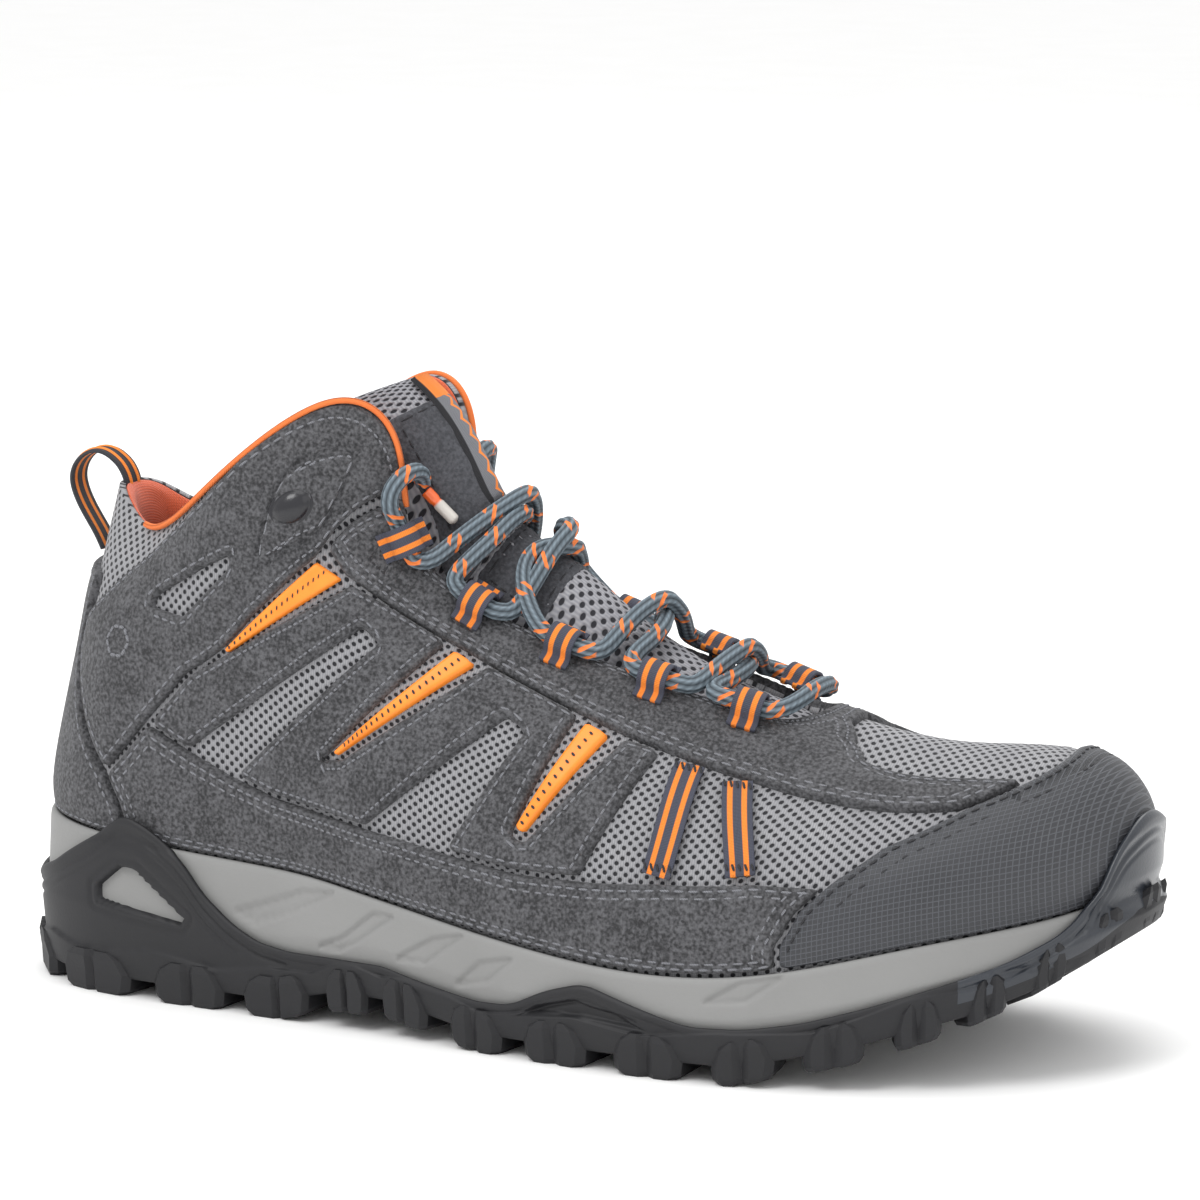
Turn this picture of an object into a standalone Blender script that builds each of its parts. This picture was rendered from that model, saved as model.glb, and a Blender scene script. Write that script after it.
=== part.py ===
"""One mid-height hiking boot (the right one), built on a last surface.

The upper's outer skin is a smooth surface through six rings of points, from the lasting
margin inside the midsole (ring 0) to the topline (ring 5), at thirteen stations a side, from
the heel (0) to the toe (12).  Every panel is an outline on that surface, in (station, ring),
lifted off it and thickened.  Stations 12 to 24 are the medial side, from the toe back to the
heel.  The tables are in millimetres from the heel; the model is in metres, +X to the toe, +Z
up, the lateral side at -Y, with its origin on the ground under the middle of the boot.
"""

import math

import bmesh
import bpy
import numpy as np
from mathutils import Matrix, Vector
from mathutils.geometry import delaunay_2d_cdt

MM = 0.001
HEEL_TO_ORIGIN = 149.126
WIDTH_SHIFT = 2.392

SHELL_THICK = 1.8
OVERLAY_LIFT = 0.65
OVERLAY_THICK = 1.4
GAP = 0.35
STATION_MM = 28.0
RING_MM = 24.0
PATCH_STEP = 9.5
STRAP_STEP = 9.5

# Each ring: (x, lateral half-width, medial half-width, z) at stations 0 to 12.
RINGS = [
    [(11, 0, 0, 31), (18, 19, 19, 31), (38, 29, 28, 29.5), (65, 32, 28, 27.5), (89, 34, 27, 26),
     (107, 36, 27, 24), (124, 39, 28, 22), (150, 44, 34, 18.5), (184, 48, 41, 16),
     (219, 47.5, 44, 18.5), (251, 37, 42, 27), (277, 17, 33, 33), (287, -8, 8, 36.5)],
    [(6, 0, 0, 42), (13.5, 21, 21, 42), (34, 32.5, 31, 40.5), (64, 36, 32, 38.5),
     (90, 38.5, 31, 37), (108, 41, 31.5, 34.5), (126, 43.5, 33, 31.5), (153, 48, 38, 27.5),
     (187, 51.5, 44.5, 24.5), (221, 50.5, 47.5, 27), (254, 40, 45, 34.5),
     (281, 19.5, 35.5, 40), (292, -9, 9, 43)],
    [(6.5, 0, 0, 57), (14, 21, 21, 57), (34, 33, 32, 57), (63, 37, 34, 56), (87, 39.5, 34, 54),
     (104, 41.5, 34.5, 52), (122, 43.5, 36, 50), (149, 46, 39, 46), (183, 49.5, 43.5, 42),
     (218, 48.5, 46.5, 43), (252, 39.5, 44.5, 50), (281.5, 20.5, 35, 57), (293.5, -9, 9, 60)],
    [(12.5, 0, 0, 82), (18.5, 19.5, 19.5, 82), (35, 31, 29.5, 82), (61, 35.5, 33.5, 82),
     (82, 37.5, 34, 82), (97, 38, 34, 81), (112, 38, 33.5, 79), (139, 38.5, 34, 72),
     (173, 41, 36.5, 64), (207, 40, 38, 60), (240, 32, 36, 62), (267, 16, 28, 69.5),
     (279, -7, 7, 75)],
    [(17, 0, 0, 105), (22, 16.5, 16.5, 104), (37, 27, 26, 102), (61, 34, 32, 107),
     (79, 34, 33, 113), (92, 30.5, 30, 115), (104, 27.5, 27.3, 108), (128, 26, 26, 95),
     (162, 26, 26, 84), (195, 24.5, 24.5, 76), (225, 18.5, 19, 72.5), (244, 10, 12, 74),
     (250, -1, 1, 76.5)],
    [(20.5, 0, 0, 126), (26, 11, 11, 124), (42, 21.5, 20.5, 118), (66, 31, 30, 135),
     (93, 26, 26, 154), (108.5, 20.5, 20.5, 145), (112, 18.5, 18.5, 121),
     (129, 17, 17, 104.5), (160, 16, 16, 92.5), (190, 14.5, 14.5, 84.5), (206, 12, 12, 80),
     (214.5, 6, 6, 81), (217, 0, 0, 82)],
]
STATIONS = 12
ROUND = 2 * STATIONS

# The sole: plan offsets from ring 1, and heights above the ground along the boot's length.
GROUND_LINE = [(-10, 4), (0, 2), (10, 0), (86, 0), (104, 4.5), (120, 4.5), (146, 0), (214, 0),
               (230, 3.5), (244, 7), (256, 11), (267, 15), (277, 20), (287, 26.5), (300, 36)]
LUG_DEPTH = [(0, 4.6), (255, 4.6), (285, 3.0), (300, 3.0)]
PLATE_THICK = [(0, 3.0), (255, 3.0), (285, 2.2), (300, 2.2)]
LIP_RISE = 0.3
WALL_THICK = 2.1

# Height of the outsole's wall up the midsole's side, by station; the heel frame peaks at 2.3
# and the bumper at 12.  Both sides share it.
WALL_TOP = [(0, 27), (0.7, 26), (1.3, 31), (1.9, 40), (2.25, 47), (2.5, 44), (2.8, 37),
            (3.0, 29.5), (3.3, 23), (3.6, 19), (4.0, 17.5), (5.6, 17.5), (6.3, 14.5),
            (6.8, 12.5), (7.1, 13), (7.4, 18), (7.7, 21), (8.1, 17), (8.5, 13.5), (8.9, 14),
            (9.3, 16.5), (9.7, 20.5), (10.6, 30.5), (11.05, 37), (11.3, 43), (11.55, 57),
            (11.8, 61), (12.0, 62)]
FRAME_WINDOW = [(1.97, 28), (2.2, 33.5), (2.34, 33.5), (2.83, 22.5), (2.8, 21), (1.98, 24.5)]

# Panel outlines on the upper, in (station, ring), one side; the other side mirrors them.
TOP_EDGE = 4.93
MARGIN_EDGE = 1.08
BACKSTAY = [(0, 4.08), (0.6, 4.07), (1.2, 4.05), (1.12, 3.5), (1.1, 3.12), (1.3, 2.78),
            (1.6, 2.35), (1.93, 1.97), (2.1, 1.6), (2.2, MARGIN_EDGE), (0, MARGIN_EDGE)]
COLLAR_OVERLAY = [(1.22, 3.55), (1.6, 3.92), (1.95, 4.35), (2.35, 4.72), (2.7, 4.86),
                  (3.2, TOP_EDGE), (5.4, TOP_EDGE), (5.42, 4.8), (5.0, 4.08), (4.9, 4.0),
                  (3.84, 3.64), (2.85, 3.1), (2.42, 2.6), (1.95, 2.02), (1.62, 2.42),
                  (1.34, 2.82), (1.16, 3.14)]
COLLAR_WINDOW = [(2.39, 3.82), (2.43, 3.97), (3.05, 4.17), (3.38, 4.18), (3.42, 4.08),
                 (2.8, 3.68)]
QUARTER = [(2.46, 2.56), (2.86, 2.38), (5.97, 3.63), (6.18, 3.57), (3.4, 2.21), (3.85, 2.1),
           (5.42, 2.02), (7.38, 3.47), (7.5, 3.38), (6.5, 2.0), (7.12, 2.0), (7.7, 2.13),
           (8.6, 3.68), (8.33, 3.7), (7.28, 2.3), (7.16, 2.32), (7.96, 3.78), (7.27, 3.93),
           (5.2, 2.57), (4.8, 2.53), (6.9, 3.95), (5.76, 3.93), (3.6, 3.38), (2.9, 3.08)]
ACCENTS = [[(4.97, 3.98), (5.58, 3.93), (4.45, 3.66), (3.42, 3.32), (3.36, 3.35)],
           [(6.98, 3.92), (7.14, 3.88), (6.2, 3.28), (5.12, 2.6), (5.06, 2.64), (5.88, 3.19)],
           [(8.02, 3.73), (8.2, 3.68), (7.75, 3.02), (7.28, 2.4), (7.22, 2.43), (7.6, 3.05)]]
FOXING = [(2.42, 2.54), (2.9, 2.32), (3.3, 2.17), (3.85, 2.05), (5.45, 1.97), (6.5, 1.94),
          (7.12, 1.95), (7.74, 2.08), (8.34, 2.22), (9.04, 2.27), (9.48, 2.12), (9.25, 1.84),
          (9.08, 1.42), (9.08, MARGIN_EDGE), (2.24, MARGIN_EDGE), (2.14, 1.62), (1.98, 1.97)]
TOE_CAP = [(9.12, MARGIN_EDGE), (9.12, 1.42), (9.29, 1.86), (9.54, 2.15), (10.01, 2.54),
           (10.66, 2.81), (11.29, 2.9), (12, 3.02)]
EYESTAY_OUTER = [(5.54, 4.77), (5.14, 4.1), (5.62, 3.98), (7.1, 4.0), (8.1, 3.79),
                 (8.8, 3.69), (9.3, 3.56), (9.8, 3.34), (10.62, 2.86), (11.2, 2.94),
                 (10.88, 3.31), (10.53, 3.65), (10.31, 3.95), (10.6, 4.4), (11.28, 4.72),
                 (12, 4.74)]
STRAPS = [((8.83, 3.6), (8.34, 2.3)), ((9.17, 3.5), (8.97, 2.36))]
STRAP_WIDTH = 7.5

LOOP_STATIONS = [6.0, 7.05, 7.8, 8.55, 9.5]
LOOP_RING = 4.85
LACE_RADIUS = 2.25
LACE_LIFT = 5.1
LACE_TURN = math.radians(27)
LACE_STEP = 9.0
LOOP_WIDTH = 7.5

# The lace, chosen point by point on one side (x, distance from the middle, z).  It has two
# ends; each leaves its loop, crosses the tongue and arrives at the next loop opposite.
LACE_TAIL = [(112.6, 13.6, 133.4), (113.3, 15.6, 135.8), (113.6, 19.6, 137.3),
             (112.6, 24.6, 136.8), (110.6, 27.6, 133.2), (110.1, 27.4, 129)]
LACE_IN_LOOP = 5.4
LACE_LEAVE = [
    [(118.6, 21.6, 115.0), (123, 16.6, 117.6), (128.7, 9.8, 121.8)],
    [(140.6, 18.8, 103.6), (143.6, 13.4, 109.4), (145.8, 7, 115.3)],
    [(163.8, 18.4, 95.0), (166.5, 12, 98.2), (169.5, 6, 101.3)],
    [(188.4, 17.3, 88.6), (190.8, 11.5, 89.8), (193, 6, 91)],
]
LACE_CROSS = [(135, 0, 125.6), (148, 0, 117.8), (173, 0, 101.8), (195.5, 0, 91.4)]
LACE_ARRIVE = [
    [(133.8, 6, 124.8), (131.3, 12, 120.4), (127.6, 18, 115.6), (124.6, 21.6, 111.4)],
    [(141, 6.5, 118.2), (139.5, 12, 114), (142, 17, 108.5), (146, 20, 102.8)],
    [(174, 5, 99.8), (173, 10.5, 97.3), (171.3, 15.8, 95), (172, 18.9, 93.2)],
    [(195.5, 5, 90.4), (194, 10, 89), (192.4, 14.6, 88.2), (193.6, 17.8, 87.4)],
]
LACE_BAR = [(211, 13.3, 84.4), (213.5, 9, 86.2), (214.3, 4, 87.6)]
LACE_HUMP = [2.0, 3.4, 5.2, 3.4, 2.0]
AGLET_RUN = [(113.4, 13.4, 131.2), (120.8, 11.6, 123.6)]
AGLET_RADIUS = 1.6

# The tongue, from its sewn end under the vamp to its rolled top: the crown line (x, z) and the
# edge (x, half-width, z).
TONGUE = [((225, 74.5), (222, 12, 69)), ((209, 81.5), (207, 15, 71)),
          ((193, 87), (190, 17, 74)), ((178, 93.8), (173, 18, 78.5)),
          ((163, 102.5), (158, 18.5, 83)), ((150, 111.5), (142, 19, 87.7)),
          ((138, 118), (127, 18.5, 94.2)), ((128.5, 126), (115, 15.6, 105)),
          ((121.5, 138), (108, 14.3, 121.5)), ((114.5, 149), (99.5, 15, 138)),
          ((107.5, 155.5), (94.5, 15.5, 149.5)), ((102.8, 158.2), (92, 15, 154.5))]
TONGUE_CURVE = 2.0
TONGUE_SPLIT = 6.5
TONGUE_THICK = 5.5

PULL_LOOP = [(15.3, 108.0), (13, 112.4), (9.7, 117.5), (7.2, 122.5), (6.6, 127), (8.6, 131),
             (12.2, 133.2), (16, 133.2), (19.2, 131.4), (21.2, 129.2)]
PULL_WIDTH = 10.0
PULL_THICK = 1.5

BUTTON_SPOT = (4.17, 4.37)


def clear_scene():
    for obj in list(bpy.data.objects):
        bpy.data.objects.remove(obj, do_unlink=True)


def collection(name):
    made = bpy.data.collections.new(name)
    bpy.context.scene.collection.children.link(made)
    return made


def finish(name, colour, roughness, metallic=0.0):
    material = bpy.data.materials.new(name)
    material.use_nodes = True
    shader = material.node_tree.nodes["Principled BSDF"]
    shader.inputs["Base Color"].default_value = (*colour, 1.0)
    shader.inputs["Roughness"].default_value = roughness
    shader.inputs["Metallic"].default_value = metallic
    return material


def metres(points):
    """Table millimetres to the model's metres."""
    points = np.atleast_2d(np.asarray(points, float))
    return (points + np.array([-HEEL_TO_ORIGIN, WIDTH_SHIFT, 0.0])) * MM


def read_line(table, at):
    """A height, or any other value, along a table of (place, value)."""
    return np.interp(at, [row[0] for row in table], [row[1] for row in table])


def spline_weights(places, count, closed):
    """One row for each place: what the cubic spline through count values gives each of them."""
    places = np.atleast_1d(np.asarray(places, float))
    left, right = np.zeros((count, count)), np.zeros((count, count))
    for i in range(count):
        before, after = (i - 1) % count, (i + 1) % count
        if closed or 0 < i < count - 1:
            left[i, [before, i, after]] += [1, 4, 1]
            right[i, [before, after]] += [-3, 3]
        elif i == 0:
            left[i, :2] = [2, 1]
            right[i, :2] = [-3, 3]
        else:
            left[i, -2:] = [1, 2]
            right[i, -2:] = [-3, 3]
    slopes = np.linalg.solve(left, right)
    low = np.floor(places).astype(int)
    if closed:
        part = places - low
        low, high = low % count, (low + 1) % count
    else:
        low = np.clip(low, 0, count - 2)
        part, high = places - low, low + 1
    t = part[:, None]
    unit = np.eye(count)
    return (
        (2 * t**3 - 3 * t**2 + 1) * unit[low]
        + (t**3 - 2 * t**2 + t) * slopes[low]
        + (3 * t**2 - 2 * t**3) * unit[high]
        + (t**3 - t**2) * slopes[high]
    )


def ring_net():
    net = []
    for ring in RINGS:
        lateral = [(x, -out, z) for x, out, _, z in ring]
        medial = [(x, out, z) for x, _, out, z in ring[1:-1]]
        net.append(lateral + medial[::-1])
    return np.array(net, float)


NET = ring_net()


def skin(stations, rings, lift=0.0):
    """Points of the upper's outer surface, lifted along its normal, in table millimetres."""
    stations = np.asarray(stations, float).ravel()
    rings = np.asarray(rings, float).ravel()

    def plain(s, r):
        across = spline_weights(s, ROUND, True)
        up = spline_weights(r, len(RINGS), False)
        return np.einsum("ki,kj,jic->kc", across, up, NET)

    points = plain(stations, rings)
    if np.any(lift):
        small = 0.01
        along = plain(stations + small, rings) - plain(stations - small, rings)
        upward = plain(stations, rings + small) - plain(stations, rings - small)
        normals = np.cross(along, upward)
        normals /= np.linalg.norm(normals, axis=1)[:, None]
        points = points + normals * np.asarray(lift, float).reshape(-1, 1)
    return points


def add_mesh(name, points, faces, material, home):
    """A mesh object from table millimetres, with its faces turned the same way."""
    mesh = bpy.data.meshes.new(name)
    mesh.from_pydata([tuple(p) for p in metres(points)], [], faces)
    mesh.materials.append(material)
    obj = bpy.data.objects.new(name, mesh)
    home.objects.link(obj)
    return obj


def face_outwards(obj):
    work = bmesh.new()
    work.from_mesh(obj.data)
    bmesh.ops.recalc_face_normals(work, faces=work.faces)
    work.to_mesh(obj.data)
    work.free()


def thicken(obj, thick, offset):
    solid = obj.modifiers.new("Thickness", "SOLIDIFY")
    solid.thickness = thick * MM
    solid.offset = offset


def dense(outline, step):
    """The outline with extra points, so that it follows the curved surface."""
    out = []
    for (s0, r0), (s1, r1) in zip(outline, outline[1:] + outline[:1]):
        length = math.hypot((s1 - s0) * STATION_MM, (r1 - r0) * RING_MM)
        parts = max(1, math.ceil(length / step))
        out += [(s0 + (s1 - s0) * k / parts, r0 + (r1 - r0) * k / parts) for k in range(parts)]
    return out


def inside(point, outline):
    x, y = point
    hit = False
    for (x0, y0), (x1, y1) in zip(outline, outline[1:] + outline[:1]):
        if (y0 > y) != (y1 > y) and x < x0 + (y - y0) * (x1 - x0) / (y1 - y0):
            hit = not hit
    return hit


def edge_distance(point, outline):
    best = 1e9
    p = np.array(point)
    for a, b in zip(outline, outline[1:] + outline[:1]):
        a, b = np.array(a), np.array(b)
        t = np.clip(np.dot(p - a, b - a) / np.dot(b - a, b - a), 0, 1)
        best = min(best, np.linalg.norm(p - a - t * (b - a)))
    return best


def panel(name, outline, material, home, holes=(), lift=OVERLAY_LIFT, thick=OVERLAY_THICK,
          step=PATCH_STEP):
    """A panel cut to an outline in (station, ring), lying on the upper."""
    loops = []
    for loop in [outline, *holes]:
        loops.append([(s * STATION_MM, r * RING_MM) for s, r in dense(loop, step)])
    flat, edges = [], []
    for loop in loops:
        start, count = len(flat), len(loop)
        flat += loop
        edges += [(start + i, start + (i + 1) % count) for i in range(count)]
    xs = [p[0] for p in loops[0]]
    ys = [p[1] for p in loops[0]]
    seeds = []
    for row, y in enumerate(np.arange(min(ys), max(ys), step * 0.87)):
        for x in np.arange(min(xs) + row % 2 * step / 2, max(xs), step):
            clear = all(edge_distance((x, y), loop) > step * 0.5 for loop in loops)
            if clear and inside((x, y), loops[0]):
                seeds.append((x, y))
    found = delaunay_2d_cdt([Vector(p) for p in flat + seeds], edges, [], 0, 1e-6)
    corners, faces = found[0], []
    for face in found[2]:
        middle = sum((corners[i] for i in face), Vector((0, 0))) / 3
        if inside(middle, loops[0]) and not any(inside(middle, loop) for loop in loops[1:]):
            faces.append(tuple(face))
    used = sorted({i for face in faces for i in face})
    renumber = {old: new for new, old in enumerate(used)}
    points = skin(
        [corners[i].x / STATION_MM for i in used],
        [corners[i].y / RING_MM for i in used],
        lift,
    )
    faces = [tuple(renumber[i] for i in face) for face in faces]
    obj = add_mesh(name, points, faces, material, home)
    thicken(obj, thick, 1)
    return obj


def mirrored(outline):
    return [(ROUND - s, r) for s, r in outline]


def both_sides(outline):
    """One closed outline from a half that starts and ends on the middle line."""
    other = [(2 * outline[-1][0] - s, r) for s, r in outline[::-1]]
    return outline + [p for p in other if p not in (outline[-1],)]


def ladder(first, count):
    """Faces across a closed ring, joining each lateral point to the medial one opposite."""
    faces = [(first, first + 1, first + count - 1)]
    half = count // 2
    for i in range(1, half - 1):
        faces.append((first + i, first + i + 1, first + count - i - 1, first + count - i))
    faces.append((first + half - 1, first + half, first + half + 1))
    return faces


def loft(name, rings, material, home, wrap=False):
    """A closed body through rings of equal count, capped at both ends or joined end to end."""
    count = len(rings[0])
    faces = []
    total = len(rings)
    for k in range(total if wrap else total - 1):
        a, b = k * count, (k + 1) % total * count
        faces += [(a + i, a + (i + 1) % count, b + (i + 1) % count, b + i) for i in range(count)]
    if not wrap:
        faces += ladder(0, count)
        faces += ladder((total - 1) * count, count)
    obj = add_mesh(name, np.vstack(rings), faces, material, home)
    face_outwards(obj)
    return obj


COLUMNS = 72
COLUMN_STATIONS = np.arange(COLUMNS) * ROUND / COLUMNS


def plan_normals(stations):
    """Outward direction in plan, along ring 1."""
    ones = np.ones_like(stations)
    along = skin(stations + 0.01, ones) - skin(stations - 0.01, ones)
    out = np.stack([along[:, 1], -along[:, 0], np.zeros(len(along))], 1)
    return out / np.linalg.norm(out, axis=1)[:, None]


def side_points(stations, flare, heights):
    """Points at a plan distance outside ring 1, at given heights."""
    base = skin(stations, np.ones_like(stations)) + plan_normals(stations) * flare
    base[:, 2] = heights
    return base


def plate_top(stations):
    """Height of the joint between the outsole's plate and the midsole."""
    x = skin(stations, np.ones_like(stations))[:, 0]
    return plate_bottom(stations) + read_line(PLATE_THICK, x)


def plate_bottom(stations):
    x = skin(stations, np.ones_like(stations))[:, 0]
    return read_line(GROUND_LINE, x) + read_line(LUG_DEPTH, x)


def lip_heights(stations):
    return skin(stations, np.ones_like(stations))[:, 2] + LIP_RISE


def side_profile(stations):
    """The boot's side from the sole joint up over the midsole's lip and onto the upper."""
    low, lip = plate_top(stations), lip_heights(stations)
    ones = np.ones_like(stations)
    return [
        side_points(stations, 3.0, low),
        side_points(stations, 4.3, low * 0.55 + lip * 0.45),
        side_points(stations, 3.5, lip - 1.2),
        side_points(stations, 2.9, lip),
        skin(stations, ones * 1.35, 2.6),
        skin(stations, ones * 1.9, 2.7),
        skin(stations, ones * 2.4, 2.7),
    ]


def wall_heights(stations):
    folded = np.where(stations > STATIONS, ROUND - stations, stations)
    return read_line(WALL_TOP, folded)


def side_at(stations, share, outward):
    """The side at a share of the wall's height, moved outward in plan."""
    profile = side_profile(stations)
    low, top = profile[0][:, 2] + 0.2, wall_heights(stations)
    wanted = low + (top - low) * share
    out = np.zeros((len(stations), 3))
    for i, z in enumerate(wanted):
        column = np.array([ring[i] for ring in profile])
        for axis in range(2):
            out[i, axis] = np.interp(z, column[:, 2], column[:, axis])
        out[i, 2] = z
    return out + plan_normals(stations) * outward


def build_midsole(home, material):
    s = COLUMN_STATIONS
    low, lip = plate_top(s), lip_heights(s)
    ones = np.ones_like(s)
    floor = skin(s, ones * 0)
    floor = floor - plan_normals(s) * 5.0
    floor[:, 2] -= 1.0
    rings = [
        side_points(s, -9.0, low),
        side_points(s, 3.0, low),
        side_points(s, 4.3, low * 0.55 + lip * 0.45),
        side_points(s, 3.5, lip - 1.2),
        side_points(s, 2.6, lip),
        skin(s, ones, 0.6),
        skin(s, ones * 0.5, 0.6),
        skin(s, ones * 0, 0.6) - np.array([0, 0, 0.6]),
        floor,
    ]
    return loft("midsole", rings, material, home)


def lug(stations, inner, outer, home):
    """One tread block between two stations, tapering towards the ground."""
    s0, s1 = stations
    corners = [(s0, outer), ((s0 + s1) / 2, outer), (s1, outer),
               (s1, inner), ((s0 + s1) / 2, inner), (s0, inner)]
    rings = []
    for shrink, level in ((0.0, 1.0), (0.9, 0.0)):
        ring = []
        for s, flare in corners:
            one = np.array([s])
            point = side_points(one, flare, 0.0)[0]
            ring.append(point)
        ring = np.array(ring)
        middle = ring.mean(axis=0)
        reach = np.linalg.norm(ring - middle, axis=1)[:, None]
        ring = middle + (ring - middle) * (1 - shrink / reach)
        x = skin([s for s, _ in corners], np.ones(len(corners)))[:, 0]
        ground = read_line(GROUND_LINE, x)
        deep = read_line(LUG_DEPTH, x) + 0.9
        ring[:, 2] = ground + deep * level if level else ground
        rings.append(ring)
    return block(rings, home)


def centre_lug(x, y, length, width, home):
    """A six-sided tread block on the middle of the sole."""
    outline = [(-0.5, 0), (-0.3, -0.5), (0.3, -0.5), (0.5, 0), (0.3, 0.5), (-0.3, 0.5)]
    rings = []
    for scale, level in ((1.0, 1.0), (0.88, 0.0)):
        ring = np.array([(x + a * length * scale, y + b * width * scale, 0) for a, b in outline])
        ground = read_line(GROUND_LINE, ring[:, 0])
        deep = read_line(LUG_DEPTH, ring[:, 0]) + 0.9
        ring[:, 2] = ground + deep * level if level else ground
        rings.append(ring)
    return block(rings, home)


def block(rings, home):
    """A closed prism through rings, capped with one face at each end."""
    count = len(rings[0])
    faces = [tuple(range(count)), tuple(range((len(rings) - 1) * count, len(rings) * count))]
    for k in range(len(rings) - 1):
        a, b = k * count, (k + 1) * count
        faces += [(a + i, a + (i + 1) % count, b + (i + 1) % count, b + i) for i in range(count)]
    mesh = bpy.data.meshes.new("block")
    mesh.from_pydata([tuple(p) for p in metres(np.vstack(rings))], [], faces)
    obj = bpy.data.objects.new("block", mesh)
    home.objects.link(obj)
    face_outwards(obj)
    return obj


SIDE_LUGS = [(0.35, 1.25), (1.48, 2.3), (2.52, 3.22), (3.42, 4.3), (4.6, 5.35), (5.6, 6.25),
             (6.5, 7.02), (7.2, 7.72), (7.92, 8.46), (8.66, 9.12), (9.3, 9.72), (9.9, 10.22),
             (10.38, 10.66), (10.82, 11.1), (11.28, 11.62)]
CENTRE_LUGS = [(30, 0, 13, 20), (50, -9, 14, 13), (50, 9, 14, 13), (70, 0, 13, 16),
               (150, -12, 14, 15), (150, 8, 14, 15), (169, -22, 14, 14), (169, -2, 14, 14),
               (169, 18, 14, 14), (188, -12, 14, 15), (188, 8, 14, 15), (207, -22, 14, 14),
               (207, -2, 14, 14), (207, 18, 14, 14), (226, -10, 14, 15), (226, 12, 14, 15),
               (245, 0, 13, 14), (245, 20, 12, 12), (262, 8, 11, 14)]


def build_outsole(home, cutters, material):
    s = COLUMN_STATIONS
    low, bottom = plate_top(s) - GAP, plate_bottom(s)
    shares = [1.0, 0.7, 0.4, 0.2, 0.1, 0.0]
    clear = 2 * GAP
    rings = [side_points(s, -9.0, low), side_points(s, 3.0 + clear, low)]
    rings += [side_at(s, share, clear) for share in shares[::-1]]
    rings += [side_at(s, share, clear + WALL_THICK) for share in shares]
    rings += [side_points(s, 5.2, bottom), side_points(s, -9.0, bottom)]
    sole = loft("outsole", rings, material, home)

    blocks = []
    for span in SIDE_LUGS:
        other = (ROUND - span[1], ROUND - span[0])
        blocks += [lug(span, -10.3, 6.3, cutters), lug(other, -10.3, 6.3, cutters)]
    blocks.append(lug((11.8, 12.2), -7.7, 6.3, cutters))
    blocks.append(lug((-0.12, 0.12), -10.3, 6.3, cutters))
    blocks += [centre_lug(*spot, cutters) for spot in CENTRE_LUGS]
    for number, part in enumerate(blocks):
        part.name = f"lug_{number:02d}"
        helper(part)
        joined = sole.modifiers.new(part.name, "BOOLEAN")
        joined.operation = "UNION"
        joined.object = part
    for side, window in (("lateral", FRAME_WINDOW), ("medial", mirrored(FRAME_WINDOW))):
        stations = np.array([p[0] for p in window])
        heights = np.array([p[1] for p in window])
        cutter = block([side_points(stations, f, heights) for f in (3.2, 10.0)], cutters)
        cutter.name = f"frame_window_{side}"
        helper(cutter)
        cut = sole.modifiers.new(cutter.name, "BOOLEAN")
        cut.operation = "DIFFERENCE"
        cut.object = cutter
    return sole


def helper(obj):
    obj.hide_render = True
    obj.display_type = "WIRE"


def build_shell(home, material):
    rows = np.array([0, 0.5, 1, 1.5, 2, 2.6, 3.2, 3.8, 4.4, 5])
    points = np.vstack([skin(COLUMN_STATIONS, np.full(COLUMNS, r)) for r in rows])
    faces = []
    for k in range(len(rows) - 1):
        a, b = k * COLUMNS, (k + 1) * COLUMNS
        for i in range(COLUMNS):
            j = (i + 1) % COLUMNS
            faces.append((a + i, a + j, b + j, b + i))
    shell = add_mesh("upper_shell", points, faces, material, home)
    thicken(shell, SHELL_THICK, -1)
    return shell


def build_lining(home, material):
    """The padded collar lining: one closed section carried round the ankle opening."""
    stations = np.linspace(-5.3, 5.3, 46)
    section = [(2.95, 2.3), (3.5, 2.3), (4.0, 2.3), (4.5, 2.3), (4.96, 2.3),
               (5.0, 3.6), (4.9, 5.6), (4.5, 7.4), (4.0, 6.8), (3.5, 5.0), (3.0, 3.2)]
    rings = []
    for s in stations:
        fade = np.clip((5.3 - abs(s)) / 1.4, 0, 1)
        depth = np.array([2.3 + (d - 2.3) * (0.25 + 0.75 * fade) for _, d in section])
        depth[5] = max(depth[5], 2.9)
        rings.append(skin(np.full(len(section), s), [r for r, _ in section], -depth))
    count = len(section)
    faces = [tuple(range(count)), tuple(range((len(rings) - 1) * count, len(rings) * count))]
    for k in range(len(rings) - 1):
        a, b = k * count, (k + 1) * count
        faces += [(a + i, a + (i + 1) % count, b + (i + 1) % count, b + i) for i in range(count)]
    lining = add_mesh("collar_lining", np.vstack(rings), faces, material, home)
    face_outwards(lining)
    return lining


def floor_ring(stations, inset, rise):
    """A ring inside the lasting margin, above the upper's lower edge."""
    ring = skin(stations, np.zeros(len(stations))) - plan_normals(stations) * inset
    ring[:, 2] += rise
    return ring


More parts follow.
